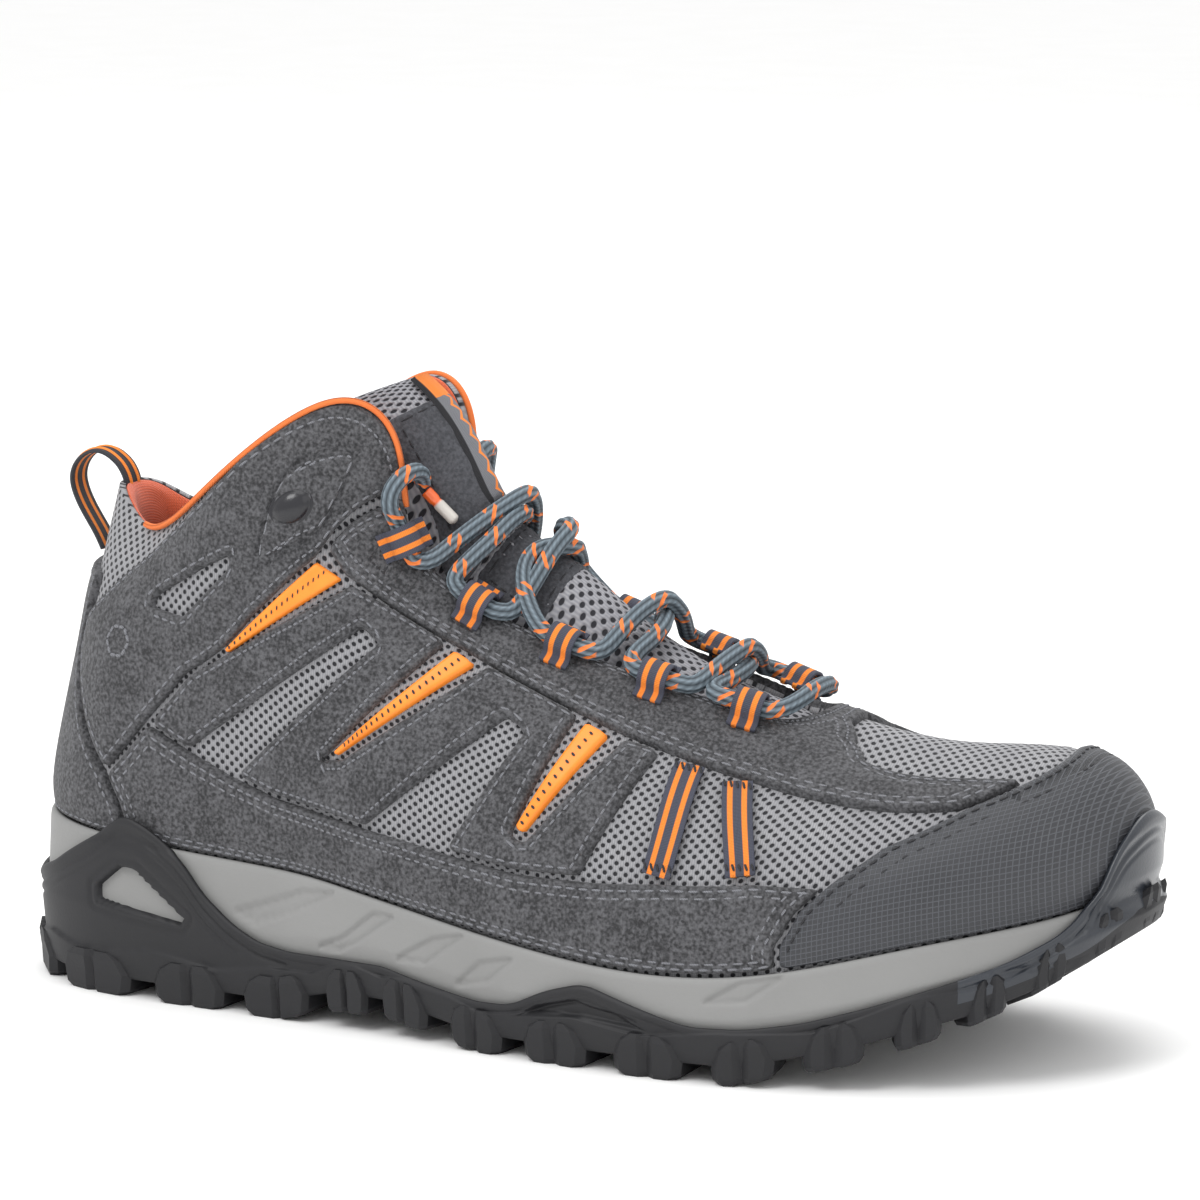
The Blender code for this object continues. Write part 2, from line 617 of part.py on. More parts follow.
def build_bottom_pieces(home, board, foam, steel):
    s = np.arange(48) * ROUND / 48
    low, high = floor_ring(s, 3.2, 0.6), floor_ring(s, 3.2, 2.2)
    loft("insole_board", [low, high], board, home)
    fold = np.where(s > STATIONS, ROUND - s, s)
    cup = read_line([(0, 9), (3, 8), (5, 6.5), (7, 4.5), (12, 3.5)], fold)
    rim_out, rim_in = floor_ring(s, 4.2, 0), floor_ring(s, 6.0, 0)
    rim_out[:, 2] += 2.6 + cup
    rim_in[:, 2] += 2.6 + cup
    rings = [floor_ring(s, 9.0, 2.6), floor_ring(s, 5.2, 3.2), rim_out, rim_in,
             floor_ring(s, 13.0, 6.6)]
    loft("footbed", rings, foam, home)

    xs = np.linspace(58, 146, 12)
    table = [(row[0], row[3]) for row in RINGS[0]]
    points, faces = [], []
    for x in xs:
        z = read_line(table, x) - 0.62
        points += [(x, -9, z), (x, 9, z), (x, 9, z + 0.8), (x, -9, z + 0.8)]
    for k in range(len(xs) - 1):
        a, b = k * 4, k * 4 + 4
        faces += [(a + i, a + (i + 1) % 4, b + (i + 1) % 4, b + i) for i in range(4)]
    faces += [(0, 1, 2, 3), tuple(len(points) - 4 + i for i in range(4))]
    shank = add_mesh("shank", points, faces, steel, home)
    face_outwards(shank)


def tongue_section(place, inner, reach, steps=8):
    """Points across a share of the tongue's width, at a depth under its face."""
    crown = np.array([[c[0], 0, c[1]] for c, _ in TONGUE], float)
    edge = np.array([[e[0], e[1], e[2]] for _, e in TONGUE], float)
    weights = spline_weights([place], len(TONGUE), False)
    ahead = spline_weights([place + 0.02], len(TONGUE), False)
    c, e = (weights @ crown)[0], (weights @ edge)[0]
    run = (ahead @ crown)[0] - c
    run /= np.linalg.norm(run)
    out = np.array([run[2], 0, -run[0]])
    if out[0] + out[2] < 0:
        out = -out
    points = []
    for k in range(steps + 1):
        u = reach * (2 * k / steps - 1)
        share = abs(u) ** TONGUE_CURVE
        point = c + (e - c) * np.array([share, 0, share])
        point[1] = e[1] * u
        thin = inner * (1 - 0.5 * abs(u) ** 3) if inner > 0 else inner
        points.append(point - out * thin)
    return points


def build_tongue_piece(name, places, top, bottom, material, home, reach=1.0, steps=8):
    """A length of tongue, or of a strip on it, between two depths under its outer face."""
    rings = []
    for place in places:
        over = tongue_section(place, top, reach, steps)
        under = tongue_section(place, bottom, reach, steps)
        rings.append(over + under[::-1])
    count = len(rings[0])
    faces = []
    for k in range(len(rings) - 1):
        a, b = k * count, (k + 1) * count
        faces += [(a + i, a + (i + 1) % count, b + (i + 1) % count, b + i) for i in range(count)]
    half = count // 2
    for start in (0, (len(rings) - 1) * count):
        for i in range(half - 1):
            faces.append((start + i, start + i + 1, start + count - i - 2, start + count - i - 1))
    obj = add_mesh(name, np.vstack(rings), faces, material, home)
    face_outwards(obj)
    return obj


def flat_outline(name, outline, width, material, home):
    """A flat outline as a filled curve, extruded evenly to both sides."""
    curve = bpy.data.curves.new(name, "CURVE")
    curve.dimensions = "2D"
    curve.fill_mode = "BOTH"
    curve.extrude = width / 2 * MM
    spline = curve.splines.new("POLY")
    spline.points.add(len(outline) - 1)
    for point, (x, y) in zip(spline.points, outline):
        point.co = (x * MM, y * MM, 0, 1)
    spline.use_cyclic_u = True
    curve.materials.append(material)
    obj = bpy.data.objects.new(name, curve)
    home.objects.link(obj)
    return obj


def frame_at(station, ring, lift):
    """Placement on the upper: X up the panel, Y out of it, Z towards the next station."""
    here = skin([station], [ring], lift)[0]
    out = skin([station], [ring], 1)[0] - skin([station], [ring])[0]
    along = skin([station + 0.02], [ring])[0] - skin([station - 0.02], [ring])[0]
    along = Vector(along).normalized()
    out = Vector(out).normalized()
    up = out.cross(along)
    place = Matrix.Identity(4)
    for axis, vector in enumerate((up, out, along)):
        for row in range(3):
            place[row][axis] = vector[row]
    place.translation = Vector(metres(here)[0])
    return place


def build_lace_loops(home, material):
    """Webbing loops on the eyestay: each an arch over the lace with two sewn feet."""
    inner, outer, foot = LACE_RADIUS + 0.75, LACE_RADIUS + 1.6, 2.85
    outline = [(-7.5, foot), (-inner, foot)]
    angles = [math.pi - math.pi * k / 6 for k in range(7)]
    outline += [(inner * math.cos(a), LACE_LIFT + inner * math.sin(a)) for a in angles]
    outline += [(inner, foot), (outer, foot)]
    outline += [(outer * math.cos(a), LACE_LIFT + outer * math.sin(a)) for a in angles[::-1]]
    outline += [(-outer, foot + 0.9), (-7.5, foot + 0.9)]
    for side in ("lateral", "medial"):
        for number, station in enumerate(LOOP_STATIONS, 1):
            station = station if side == "lateral" else ROUND - station
            loop = flat_outline(f"lace_loop_{side}_{number}", outline, LOOP_WIDTH, material, home)
            loop.matrix_world = frame_at(station, LOOP_RING, 0)


def through_loop(station, side):
    """Points in a row along a loop's axis, running forward."""
    small = 0.02
    if side > 0:
        station, small = ROUND - station, -small
    middle = skin([station], [LOOP_RING], LACE_LIFT)[0]
    along = skin([station + small], [LOOP_RING])[0] - skin([station - small], [LOOP_RING])[0]
    along /= np.linalg.norm(along)
    reaches = (-LACE_IN_LOOP, -LACE_IN_LOOP * 0.6, 0, LACE_IN_LOOP * 0.6, LACE_IN_LOOP)
    spots = [middle + along * reach for reach in reaches]
    return [(x, side * abs(y), z) for x, y, z in spots]


def lace_route():
    """The lace's route from one end to the other, in table millimetres."""
    ends = []
    for first in (-1, 1):
        side = first
        route = [(x, side * y, z) for x, y, z in LACE_TAIL]
        for row, station in enumerate(LOOP_STATIONS):
            route += through_loop(station, side)
            if row == len(LOOP_STATIONS) - 1:
                break
            cross = LACE_LEAVE[row] + [LACE_CROSS[row]]
            over = side < 0
            humps = [0.0, LACE_HUMP[0], LACE_HUMP[1], LACE_HUMP[2]]
            route += [(x, side * y, z + over * h) for (x, y, z), h in zip(cross, humps)]
            side = -side
            humps = [LACE_HUMP[3], LACE_HUMP[4], 0.0, 0.0]
            route += [(x, side * y, z + over * h)
                      for (x, y, z), h in zip(LACE_ARRIVE[row], humps)]
        route += [(x, side * y, z) for x, y, z in LACE_BAR]
        ends.append(route)
    return np.array(ends[0] + ends[1][::-1], float)


def smooth_route(route):
    """A smooth curve that cuts the route's corners, with points where it bends."""
    path = route
    for _ in range(3):
        ahead = path[:-1] * 0.75 + path[1:] * 0.25
        behind = path[:-1] * 0.25 + path[1:] * 0.75
        inner = np.stack([ahead, behind], 1).reshape(-1, 3)
        path = np.vstack([path[:1], inner[1:-1], path[-1:]])
    steps = np.diff(path, axis=0)
    lengths = np.linalg.norm(steps, axis=1)
    steps /= lengths[:, None]
    kept, turned, run = [path[0]], 0.0, 0.0
    for k in range(1, len(path) - 1):
        turned += math.acos(min(1.0, float(steps[k - 1] @ steps[k])))
        run += lengths[k - 1]
        if turned > LACE_TURN or run > LACE_STEP:
            kept.append(path[k])
            turned = run = 0.0
    return np.array([*kept, path[-1]])


def tube(name, points, radius, material, home, sides=2):
    curve = bpy.data.curves.new(name, "CURVE")
    curve.dimensions = "3D"
    curve.bevel_depth = radius * MM
    curve.bevel_resolution = sides
    curve.use_fill_caps = True
    spline = curve.splines.new("POLY")
    spline.points.add(len(points) - 1)
    for point, place in zip(spline.points, metres(points)):
        point.co = (*place, 1)
    curve.materials.append(material)
    obj = bpy.data.objects.new(name, curve)
    home.objects.link(obj)
    return obj


def build_pull_loop(home, material):
    """A loop of webbing, hinged on the line through its two sewn ends."""
    centre = np.array(PULL_LOOP, float)
    fine = spline_weights(np.linspace(0, len(centre) - 1, 19), len(centre), False) @ centre
    along = np.gradient(fine, axis=0)
    along /= np.linalg.norm(along, axis=1)[:, None]
    out = np.stack([-along[:, 1], along[:, 0]], 1) * PULL_THICK / 2
    outline = [tuple(p) for p in fine + out] + [tuple(p) for p in (fine - out)[::-1]]
    start, end = np.array(PULL_LOOP[0]), np.array(PULL_LOOP[-1])
    hinge = (start + end) / 2
    outline = [(x - hinge[0], z - hinge[1]) for x, z in outline]
    loop = flat_outline("pull_loop", outline, PULL_WIDTH, material, home)
    place = Matrix.Rotation(math.pi / 2, 4, "X")
    place.translation = Vector(metres((hinge[0], 0, hinge[1]))[0])
    loop.matrix_world = place


def build_button(side, home, material):
    """An oval rubber ankle dome: a turned profile, stretched along the collar."""
    profile = [(0.0, 2.6), (2.4, 2.3), (4.2, 1.3), (4.9, 0.2), (4.7, 0.0), (0.0, 0.0)]
    mesh = bpy.data.meshes.new(f"ankle_button_{side}")
    points = [(r * MM, 0, h * MM) for r, h in profile]
    mesh.from_pydata(points, [(i, i + 1) for i in range(len(points) - 1)], [])
    mesh.materials.append(material)
    button = bpy.data.objects.new(mesh.name, mesh)
    home.objects.link(button)
    turn = button.modifiers.new("Turn", "SCREW")
    turn.steps = turn.render_steps = 20
    turn.use_merge_vertices = True
    turn.merge_threshold = 0.00005
    station = BUTTON_SPOT[0] if side == "lateral" else ROUND - BUTTON_SPOT[0]
    place = frame_at(station, BUTTON_SPOT[1], OVERLAY_LIFT + OVERLAY_THICK + 0.5)
    stretch = Matrix.Diagonal((0.95, 1.3, 1.0, 1.0))
    button.matrix_world = place @ Matrix.Rotation(-math.pi / 2, 4, "X") @ stretch


def inner_patch(name, span, rings, depth, thick, home, material):
    """A stiffener inside the upper between two stations."""
    (s0, s1), (r0, r1) = span, rings
    outline = [(s0, r0), (s1, r0), (s1, r1), (s0, r1)]
    stiffener = panel(name, outline, material, home, lift=-(depth + thick), thick=thick,
                      step=13.0)
    return stiffener


def main():
    clear_scene()
    boot = collection("hiking_boot")
    cutters = collection("cutters")

    rubber = finish("black_rubber", (0.045, 0.045, 0.052), 0.75)
    foam = finish("moulded_eva", (0.33, 0.33, 0.32), 0.6)
    suede = finish("suede", (0.11, 0.11, 0.12), 0.9)
    mesh = finish("spacer_mesh", (0.36, 0.36, 0.37), 0.85)
    woven = finish("toe_fabric", (0.06, 0.064, 0.075), 0.7)
    lining = finish("lining_fabric", (0.66, 0.13, 0.05), 0.9)
    orange = finish("orange_film", (1.0, 0.32, 0.045), 0.5)
    webbing = finish("webbing", (0.07, 0.075, 0.11), 0.85)
    cord = finish("lace_braid", (0.16, 0.2, 0.21), 0.8)
    board = finish("fibre_board", (0.4, 0.33, 0.24), 0.9)
    bed = finish("footbed_foam", (0.09, 0.09, 0.1), 0.9)
    steel = finish("spring_steel", (0.5, 0.5, 0.5), 0.35, 1.0)
    tip = finish("aglet_plastic", (0.9, 0.25, 0.06), 0.3)

    build_outsole(boot, cutters, rubber)
    build_midsole(boot, foam)
    build_bottom_pieces(boot, board, bed, steel)
    build_shell(boot, mesh)
    build_lining(boot, lining)
    inner_patch("heel_counter", (-4.2, 4.2), (0.75, 2.7), 2.2, 1.1, boot, board)
    inner_patch("toe_puff", (9.9, 14.1), (0.9, 2.6), 3.3, 1.0, boot, board)

    panel("backstay", both_sides(BACKSTAY[::-1])[1:], suede, boot)
    panel("toe_cap", both_sides(TOE_CAP), woven, boot, step=7.0)
    throat = both_sides([(5.6, TOP_EDGE), *EYESTAY_OUTER]) + [(STATIONS, TOP_EDGE)]
    panel("eyestay", throat, suede, boot)
    for side in ("lateral", "medial"):
        turn = (lambda outline: outline) if side == "lateral" else mirrored
        panel(f"collar_overlay_{side}", turn(COLLAR_OVERLAY), suede, boot,
              holes=[turn(COLLAR_WINDOW)])
        panel(f"quarter_overlay_{side}", turn(QUARTER), suede, boot)
        panel(f"foxing_{side}", turn(FOXING), suede, boot)
        for number, outline in enumerate(ACCENTS, 1):
            panel(f"accent_{side}_{number}", turn(outline), orange, boot, thick=1.1)
        for number, (high, low) in enumerate(STRAPS, 1):
            half = STRAP_WIDTH / 2 / STATION_MM
            outline = [(high[0] - half, high[1]), (low[0] - half, low[1]),
                       (low[0] + half, low[1]), (high[0] + half, high[1])]
            panel(f"vamp_strap_{side}_{number}", turn(outline), webbing, boot, thick=1.1,
                  step=STRAP_STEP)
        build_button(side, boot, rubber)

    lower = np.linspace(0, TONGUE_SPLIT - 0.12, 12)
    upper = np.linspace(TONGUE_SPLIT + 0.06, len(TONGUE) - 1, 9)
    build_tongue_piece("tongue_lower", lower, 0.0, TONGUE_THICK, mesh, boot)
    build_tongue_piece("tongue_top", upper, 0.0, TONGUE_THICK, mesh, boot)
    build_tongue_piece("tongue_facing", np.linspace(7.6, 9.5, 5), -1.0, -GAP, suede, boot, 0.8)
    build_tongue_piece("tongue_label", np.linspace(7.75, 10.5, 7), -2.3, -1.55, webbing, boot,
                       0.32, 4)

    build_lace_loops(boot, webbing)
    route = smooth_route(lace_route())
    tube("lace", route, LACE_RADIUS, cord, boot)
    for side, sign in (("lateral", -1), ("medial", 1)):
        run = [(x, sign * y, z) for x, y, z in AGLET_RUN]
        tube(f"aglet_{side}", run, AGLET_RADIUS, tip, boot)
    build_pull_loop(boot, webbing)


main()
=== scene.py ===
"""One right hiking boot: the looks of every piece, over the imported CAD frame.

Tables are in millimetres from the heel, as in the CAD: +X to the toe, lateral side at -Y.
"""

import math

import bmesh
import bpy
import numpy as np
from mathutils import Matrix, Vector
from mathutils.geometry import delaunay_2d_cdt


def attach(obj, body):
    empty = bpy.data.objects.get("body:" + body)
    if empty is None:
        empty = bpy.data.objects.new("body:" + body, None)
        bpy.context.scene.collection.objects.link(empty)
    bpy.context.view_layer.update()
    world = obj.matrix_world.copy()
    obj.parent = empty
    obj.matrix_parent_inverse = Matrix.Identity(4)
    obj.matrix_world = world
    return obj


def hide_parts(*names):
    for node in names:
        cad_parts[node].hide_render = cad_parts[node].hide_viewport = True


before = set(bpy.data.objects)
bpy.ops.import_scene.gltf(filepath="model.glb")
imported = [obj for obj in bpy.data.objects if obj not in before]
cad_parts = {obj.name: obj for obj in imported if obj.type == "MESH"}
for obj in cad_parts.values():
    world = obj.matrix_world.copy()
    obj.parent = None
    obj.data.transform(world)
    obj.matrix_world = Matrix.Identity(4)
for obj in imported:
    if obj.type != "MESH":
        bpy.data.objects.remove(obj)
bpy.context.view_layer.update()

# --- Camera, light and floor -------------------------------------------------------------
# The boot stands on a pale floor in soft, even studio light, seen from its lateral side,
# a little in front of it and a little above.

MM = 0.001
CAMERA_LENS = 180.9
CAMERA_TARGET = (0.0057, 0.0024, 0.1046)
CAMERA_AZIMUTH = 24.73
CAMERA_ELEVATION = 10.25
CAMERA_DISTANCE = 1.5
LIGHT_DISTANCE = 1.5
LIGHT_TARGET = (0, 0, 0.06)
SKY_STRENGTH = 0.98
FLOOR_REACH = 9


def aimed(name, data, target, azimuth, elevation, distance):
    """Puts a camera or a light round a target, looking at it."""
    a, e = math.radians(azimuth), math.radians(elevation)
    away = Vector((math.sin(a) * math.cos(e), -math.cos(a) * math.cos(e), math.sin(e)))
    obj = bpy.data.objects.new(name, data)
    obj.location = Vector(target) + away * distance
    obj.rotation_euler = away.to_track_quat("Z", "Y").to_euler()
    bpy.context.scene.collection.objects.link(obj)
    return obj


def srgb(code):
    """A hex colour as linear red, green, blue and alpha."""
    parts = [int(code[i:i + 2], 16) / 255 for i in (1, 3, 5)]
    return (*[p / 12.92 if p <= 0.04045 else ((p + 0.055) / 1.055) ** 2.4 for p in parts], 1.0)


def add(tree, kind, inputs=None, out=0, **settings):
    """Adds a shader node and returns one of its outputs; a socket given as an input is linked."""
    node = tree.nodes.new("ShaderNode" + kind)
    for name, value in settings.items():
        setattr(node, name, value)
    for socket, value in (inputs or {}).items():
        if isinstance(value, bpy.types.NodeSocket):
            tree.links.new(value, node.inputs[socket])
        else:
            node.inputs[socket].default_value = value
    return node.outputs[out]


def calc(tree, operation, *values):
    return add(tree, "Math", dict(enumerate(values)), operation=operation)


def mix(tree, share, first, second):
    return add(tree, "MixRGB", {0: share, 1: first, 2: second})


def soft_step(tree, value, low, high):
    """0 at low and 1 at high, with a smooth turn between."""
    limits = {"Value": value, "From Min": low, "From Max": high}
    return add(tree, "MapRange", limits, interpolation_type="SMOOTHSTEP")


def between(tree, value, low, high):
    """A share from 0 to 1 turned into a value from low to high."""
    return add(tree, "MapRange", {"Value": value, "To Min": low, "To Max": high})


def place(tree):
    """Position in the boot's frame, in millimetres."""
    metres_here = add(tree, "TexCoord", out=3)
    return add(tree, "VectorMath", {0: metres_here, "Scale": 1 / MM}, operation="SCALE")


def noise(tree, where, pitch, detail=3.0):
    return add(tree, "TexNoise", {"Vector": where, "Scale": 1 / pitch, "Detail": detail})


def finish(name, paint, **fixed):
    """A material whose colour, roughness, relief and relief depth in mm come from paint."""
    made = bpy.data.materials.new(name)
    made.use_nodes = True
    tree = made.node_tree
    shader = tree.nodes["Principled BSDF"]
    colour, roughness, relief, depth = paint(tree)
    bump = add(tree, "Bump", {"Height": relief, "Distance": depth * MM})
    for socket, value in (("Base Color", colour), ("Roughness", roughness), ("Normal", bump)):
        tree.links.new(value, shader.inputs[socket])
    for socket, value in fixed.items():
        shader.inputs[socket.replace("_", " ")].default_value = value
    return made


def paint_floor(tree):
    """Painted board: near white and matt, with a faint broad unevenness."""
    grain = noise(tree, place(tree), 40.0)
    colour = mix(tree, grain, srgb("#fbfbfa"), srgb("#ffffff"))
    return colour, between(tree, grain, 0.8, 0.9), grain, 0.05


camera_data = bpy.data.cameras.new("camera")
camera_data.lens = CAMERA_LENS
camera_data.sensor_width = 36.0
bpy.context.scene.camera = aimed("camera", camera_data, CAMERA_TARGET, CAMERA_AZIMUTH,
                                 CAMERA_ELEVATION, CAMERA_DISTANCE)

for light_name, azimuth, elevation, size, power in (
    ("key_light", -20, 50, 0.7, 8.0),
    ("fill_light", 70, 30, 1.2, 2.0),
    ("back_light", 190, 50, 1.0, 5.0),
    ("top_light", 0, 88, 1.2, 5.0),
):
    lamp = bpy.data.lights.new(light_name, "AREA")
    lamp.shape = "DISK"
    lamp.size = size
    lamp.energy = power
    aimed(light_name, lamp, LIGHT_TARGET, azimuth, elevation, LIGHT_DISTANCE)

world = bpy.data.worlds.new("studio")
world.use_nodes = True
world.node_tree.nodes["Background"].inputs["Color"].default_value = srgb("#ffffff")
world.node_tree.nodes["Background"].inputs["Strength"].default_value = SKY_STRENGTH
bpy.context.scene.world = world
bpy.context.scene.view_settings.view_transform = "Standard"

floor_mesh = bpy.data.meshes.new("floor")
floor_corners = [(x * FLOOR_REACH, y * FLOOR_REACH, 0)
                 for x, y in ((-1, -1), (1, -1), (1, 1), (-1, 1))]
floor_mesh.from_pydata(floor_corners, [], [(0, 1, 2, 3)])
floor_mesh.materials.append(finish("floor", paint_floor))
floor = bpy.data.objects.new("floor", floor_mesh)
bpy.context.scene.collection.objects.link(floor)

# --- Upper shell --------------------------------------------------------------------------
# The lasted body of the upper: a grey spacer mesh with small holes, painted dark for the dark backing behind
# them and for the shade in them.
# It shows at the collar's back, between the overlays, on the forefoot and on the vamp.

HEEL_TO_ORIGIN = 149.126
WIDTH_SHIFT = 2.392
STATIONS = 12
ROUND = 2 * STATIONS
STATION_MM = 28.0
RING_MM = 24.0

# Each ring: (x, lateral half-width, medial half-width, z) at stations 0 (heel) to 12 (toe).
RINGS = [
    [(11, 0, 0, 31), (18, 19, 19, 31), (38, 29, 28, 29.5), (65, 32, 28, 27.5), (89, 34, 27, 26),
     (107, 36, 27, 24), (124, 39, 28, 22), (150, 44, 34, 18.5), (184, 48, 41, 16),
     (219, 47.5, 44, 18.5), (251, 37, 42, 27), (277, 17, 33, 33), (287, -8, 8, 36.5)],
    [(6, 0, 0, 42), (13.5, 21, 21, 42), (34, 32.5, 31, 40.5), (64, 36, 32, 38.5),
     (90, 38.5, 31, 37), (108, 41, 31.5, 34.5), (126, 43.5, 33, 31.5), (153, 48, 38, 27.5),
     (187, 51.5, 44.5, 24.5), (221, 50.5, 47.5, 27), (254, 40, 45, 34.5),
     (281, 19.5, 35.5, 40), (292, -9, 9, 43)],
    [(6.5, 0, 0, 57), (14, 21, 21, 57), (34, 33, 32, 57), (63, 37, 34, 56), (87, 39.5, 34, 54),
     (104, 41.5, 34.5, 52), (122, 43.5, 36, 50), (149, 46, 39, 46), (183, 49.5, 43.5, 42),
     (218, 48.5, 46.5, 43), (252, 39.5, 44.5, 50), (281.5, 20.5, 35, 57), (293.5, -9, 9, 60)],
    [(12.5, 0, 0, 82), (18.5, 19.5, 19.5, 82), (35, 31, 29.5, 82), (61, 35.5, 33.5, 82),
     (82, 37.5, 34, 82), (97, 38, 34, 81), (112, 38, 33.5, 79), (139, 38.5, 34, 72),
     (173, 41, 36.5, 64), (207, 40, 38, 60), (240, 32, 36, 62), (267, 16, 28, 69.5),
     (279, -7, 7, 75)],
    [(17, 0, 0, 105), (22, 16.5, 16.5, 104), (37, 27, 26, 102), (61, 34, 32, 107),
     (79, 34, 33, 113), (92, 30.5, 30, 115), (104, 27.5, 27.3, 108), (128, 26, 26, 95),
     (162, 26, 26, 84), (195, 24.5, 24.5, 76), (225, 18.5, 19, 72.5), (244, 10, 12, 74),
     (250, -1, 1, 76.5)],
    [(20.5, 0, 0, 126), (26, 11, 11, 124), (42, 21.5, 20.5, 118), (66, 31, 30, 135),
     (93, 26, 26, 154), (108.5, 20.5, 20.5, 145), (112, 18.5, 18.5, 121),
     (129, 17, 17, 104.5), (160, 16, 16, 92.5), (190, 14.5, 14.5, 84.5), (206, 12, 12, 80),
     (214.5, 6, 6, 81), (217, 0, 0, 82)],
]


def metres(points):
    points = np.asarray(points, float).reshape(-1, 3)
    return (points + np.array([-HEEL_TO_ORIGIN, WIDTH_SHIFT, 0.0])) * MM


def spline_weights(places, count, closed=False):
    """One row for each place: what the cubic spline through count values gives each of them."""
    places = np.atleast_1d(np.asarray(places, float))
    left, right = np.zeros((count, count)), np.zeros((count, count))
    for i in range(count):
        before, after = (i - 1) % count, (i + 1) % count
        if closed or 0 < i < count - 1:
            left[i, [before, i, after]] += [1, 4, 1]
            right[i, [before, after]] += [-3, 3]
        elif i == 0:
            left[i, :2] = [2, 1]
            right[i, :2] = [-3, 3]
        else:
            left[i, -2:] = [1, 2]
            right[i, -2:] = [-3, 3]
    slopes = np.linalg.solve(left, right)
    low = np.floor(places).astype(int)
    if closed:
        part = places - low
        low, high = low % count, (low + 1) % count
    else:
        low = np.clip(low, 0, count - 2)
        part, high = places - low, low + 1
    t = part[:, None]
    unit = np.eye(count)
    return (
        (2 * t**3 - 3 * t**2 + 1) * unit[low]
        + (t**3 - 2 * t**2 + t) * slopes[low]
        + (3 * t**2 - 2 * t**3) * unit[high]
        + (t**3 - t**2) * slopes[high]
    )


def ring_net():
    net = []
    for ring in RINGS:
        lateral = [(x, -out, z) for x, out, _, z in ring]
        medial = [(x, out, z) for x, _, out, z in ring[1:-1]]
        net.append(lateral + medial[::-1])
    return np.array(net, float)


NET = ring_net()


def plain_skin(stations, rings):
    across = spline_weights(stations, ROUND, closed=True)
    up = spline_weights(rings, len(RINGS))
    return np.einsum("ki,kj,jic->kc", across, up, NET)


def skin_normals(stations, rings):
    small = 0.01
    along = plain_skin(stations + small, rings) - plain_skin(stations - small, rings)
    upward = plain_skin(stations, rings + small) - plain_skin(stations, rings - small)
    normals = np.cross(along, upward)
    return normals / np.linalg.norm(normals, axis=1)[:, None]


def skin(stations, rings, lift=0.0):
    """Points of the upper's outer surface, lifted along its normal."""
    stations = np.asarray(stations, float).ravel()
    rings = np.broadcast_to(np.asarray(rings, float), stations.shape)
    points = plain_skin(stations, rings)
    if np.any(lift):
        lift = np.broadcast_to(np.asarray(lift, float), stations.shape)
        points = points + skin_normals(stations, rings) * lift[:, None]
    return points


def cloth_table():
    """Distances along and up the upper, on a fine grid, so that cloth keeps its scale."""
    s = np.linspace(0, ROUND, 241)
    r = np.linspace(0, 5, 51)
    grid = plain_skin(np.repeat(s, len(r)), np.tile(r, len(s))).reshape(len(s), len(r), 3)
    up = np.cumsum(np.linalg.norm(np.diff(grid, axis=1, prepend=grid[:, :1]), axis=2), axis=1)
    round_heel = np.linalg.norm(np.diff(grid, axis=0, prepend=grid[:1]), axis=2)
    along = grid[:, :, 0].copy()
    turn = 30
    for start, step in ((turn, -1), (len(s) - 1 - turn, 1)):
        k = start
        while 0 <= k + step < len(s):
            along[k + step] = along[k] - round_heel[max(k, k + step)]
            k += step
    return np.stack([along, up], 2)


CLOTH_TABLE = cloth_table()

# The vamp's mesh is a cut of its own, sewn under the eyestay along this line (rings, stations).
VAMP_EDGE = [(2.7, 2.9, 3.3, 3.65, 4.0, 5.0), (11.05, 10.9, 10.35, 10.0, 9.8, 9.8)]


def cloth_at(stations, rings):
    """(distance along, distance up, 0) in mm at points of the upper, for woven patterns."""
    stations = np.asarray(stations, float)
    rings = np.broadcast_to(np.asarray(rings, float), stations.shape)
    a = np.mod(stations, ROUND) * 10
    b = np.clip(rings, 0, 5) * 10
    i = np.clip(a.astype(int), 0, 239)
    j = np.clip(b.astype(int), 0, 49)
    a, b = (a - i)[:, None], (b - j)[:, None]
    low = CLOTH_TABLE[i, j] * (1 - a) + CLOTH_TABLE[i + 1, j] * a
    high = CLOTH_TABLE[i, j + 1] * (1 - a) + CLOTH_TABLE[i + 1, j + 1] * a
    spots = low * (1 - b) + high * b
    side = np.minimum(np.mod(stations, ROUND), ROUND - np.mod(stations, ROUND))
    on_vamp = (rings > 2.75) & (side > np.interp(rings, VAMP_EDGE[0], VAMP_EDGE[1]))
    spots[on_vamp] = plain_skin(stations, rings)[on_vamp][:, :2]
    return np.hstack([spots, np.zeros((len(spots), 1))])


def piece(name, points, faces, looks, cloth=None, body="boot", nodes=(), slot=None,
          faceted=False):
    """A mesh piece in the boot's frame that rides on a body and stands for CAD nodes."""
    mesh = bpy.data.meshes.new(name)
    mesh.from_pydata(metres(points).tolist(), [], [tuple(map(int, face)) for face in faces])
    if cloth is not None:
        layer = mesh.attributes.new("cloth", "FLOAT_VECTOR", "POINT")
        layer.data.foreach_set("vector", np.asarray(cloth, np.float32).ravel())
    for look in looks if isinstance(looks, tuple) else (looks,):
        mesh.materials.append(look)
    if not faceted:
        mesh.shade_smooth()
    obj = bpy.data.objects.new(f"{name}_skin", mesh)
    bpy.context.scene.collection.objects.link(obj)
    if body:
        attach(obj, body)
    if nodes:
        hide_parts(*nodes)
    return obj


def grid_faces(rows, columns, wrap=True, start=0):
    """Quads of a grid whose columns join up round the boot when wrap is set."""
    faces = []
    for k in range(rows - 1):
        a, b = start + k * columns, start + (k + 1) * columns
        for i in range(columns if wrap else columns - 1):
            j = (i + 1) % columns
            faces.append((a + i, a + j, b + j, b + i))
    return faces


def cloth_place(tree):
    return add(tree, "Attribute", attribute_name="cloth")


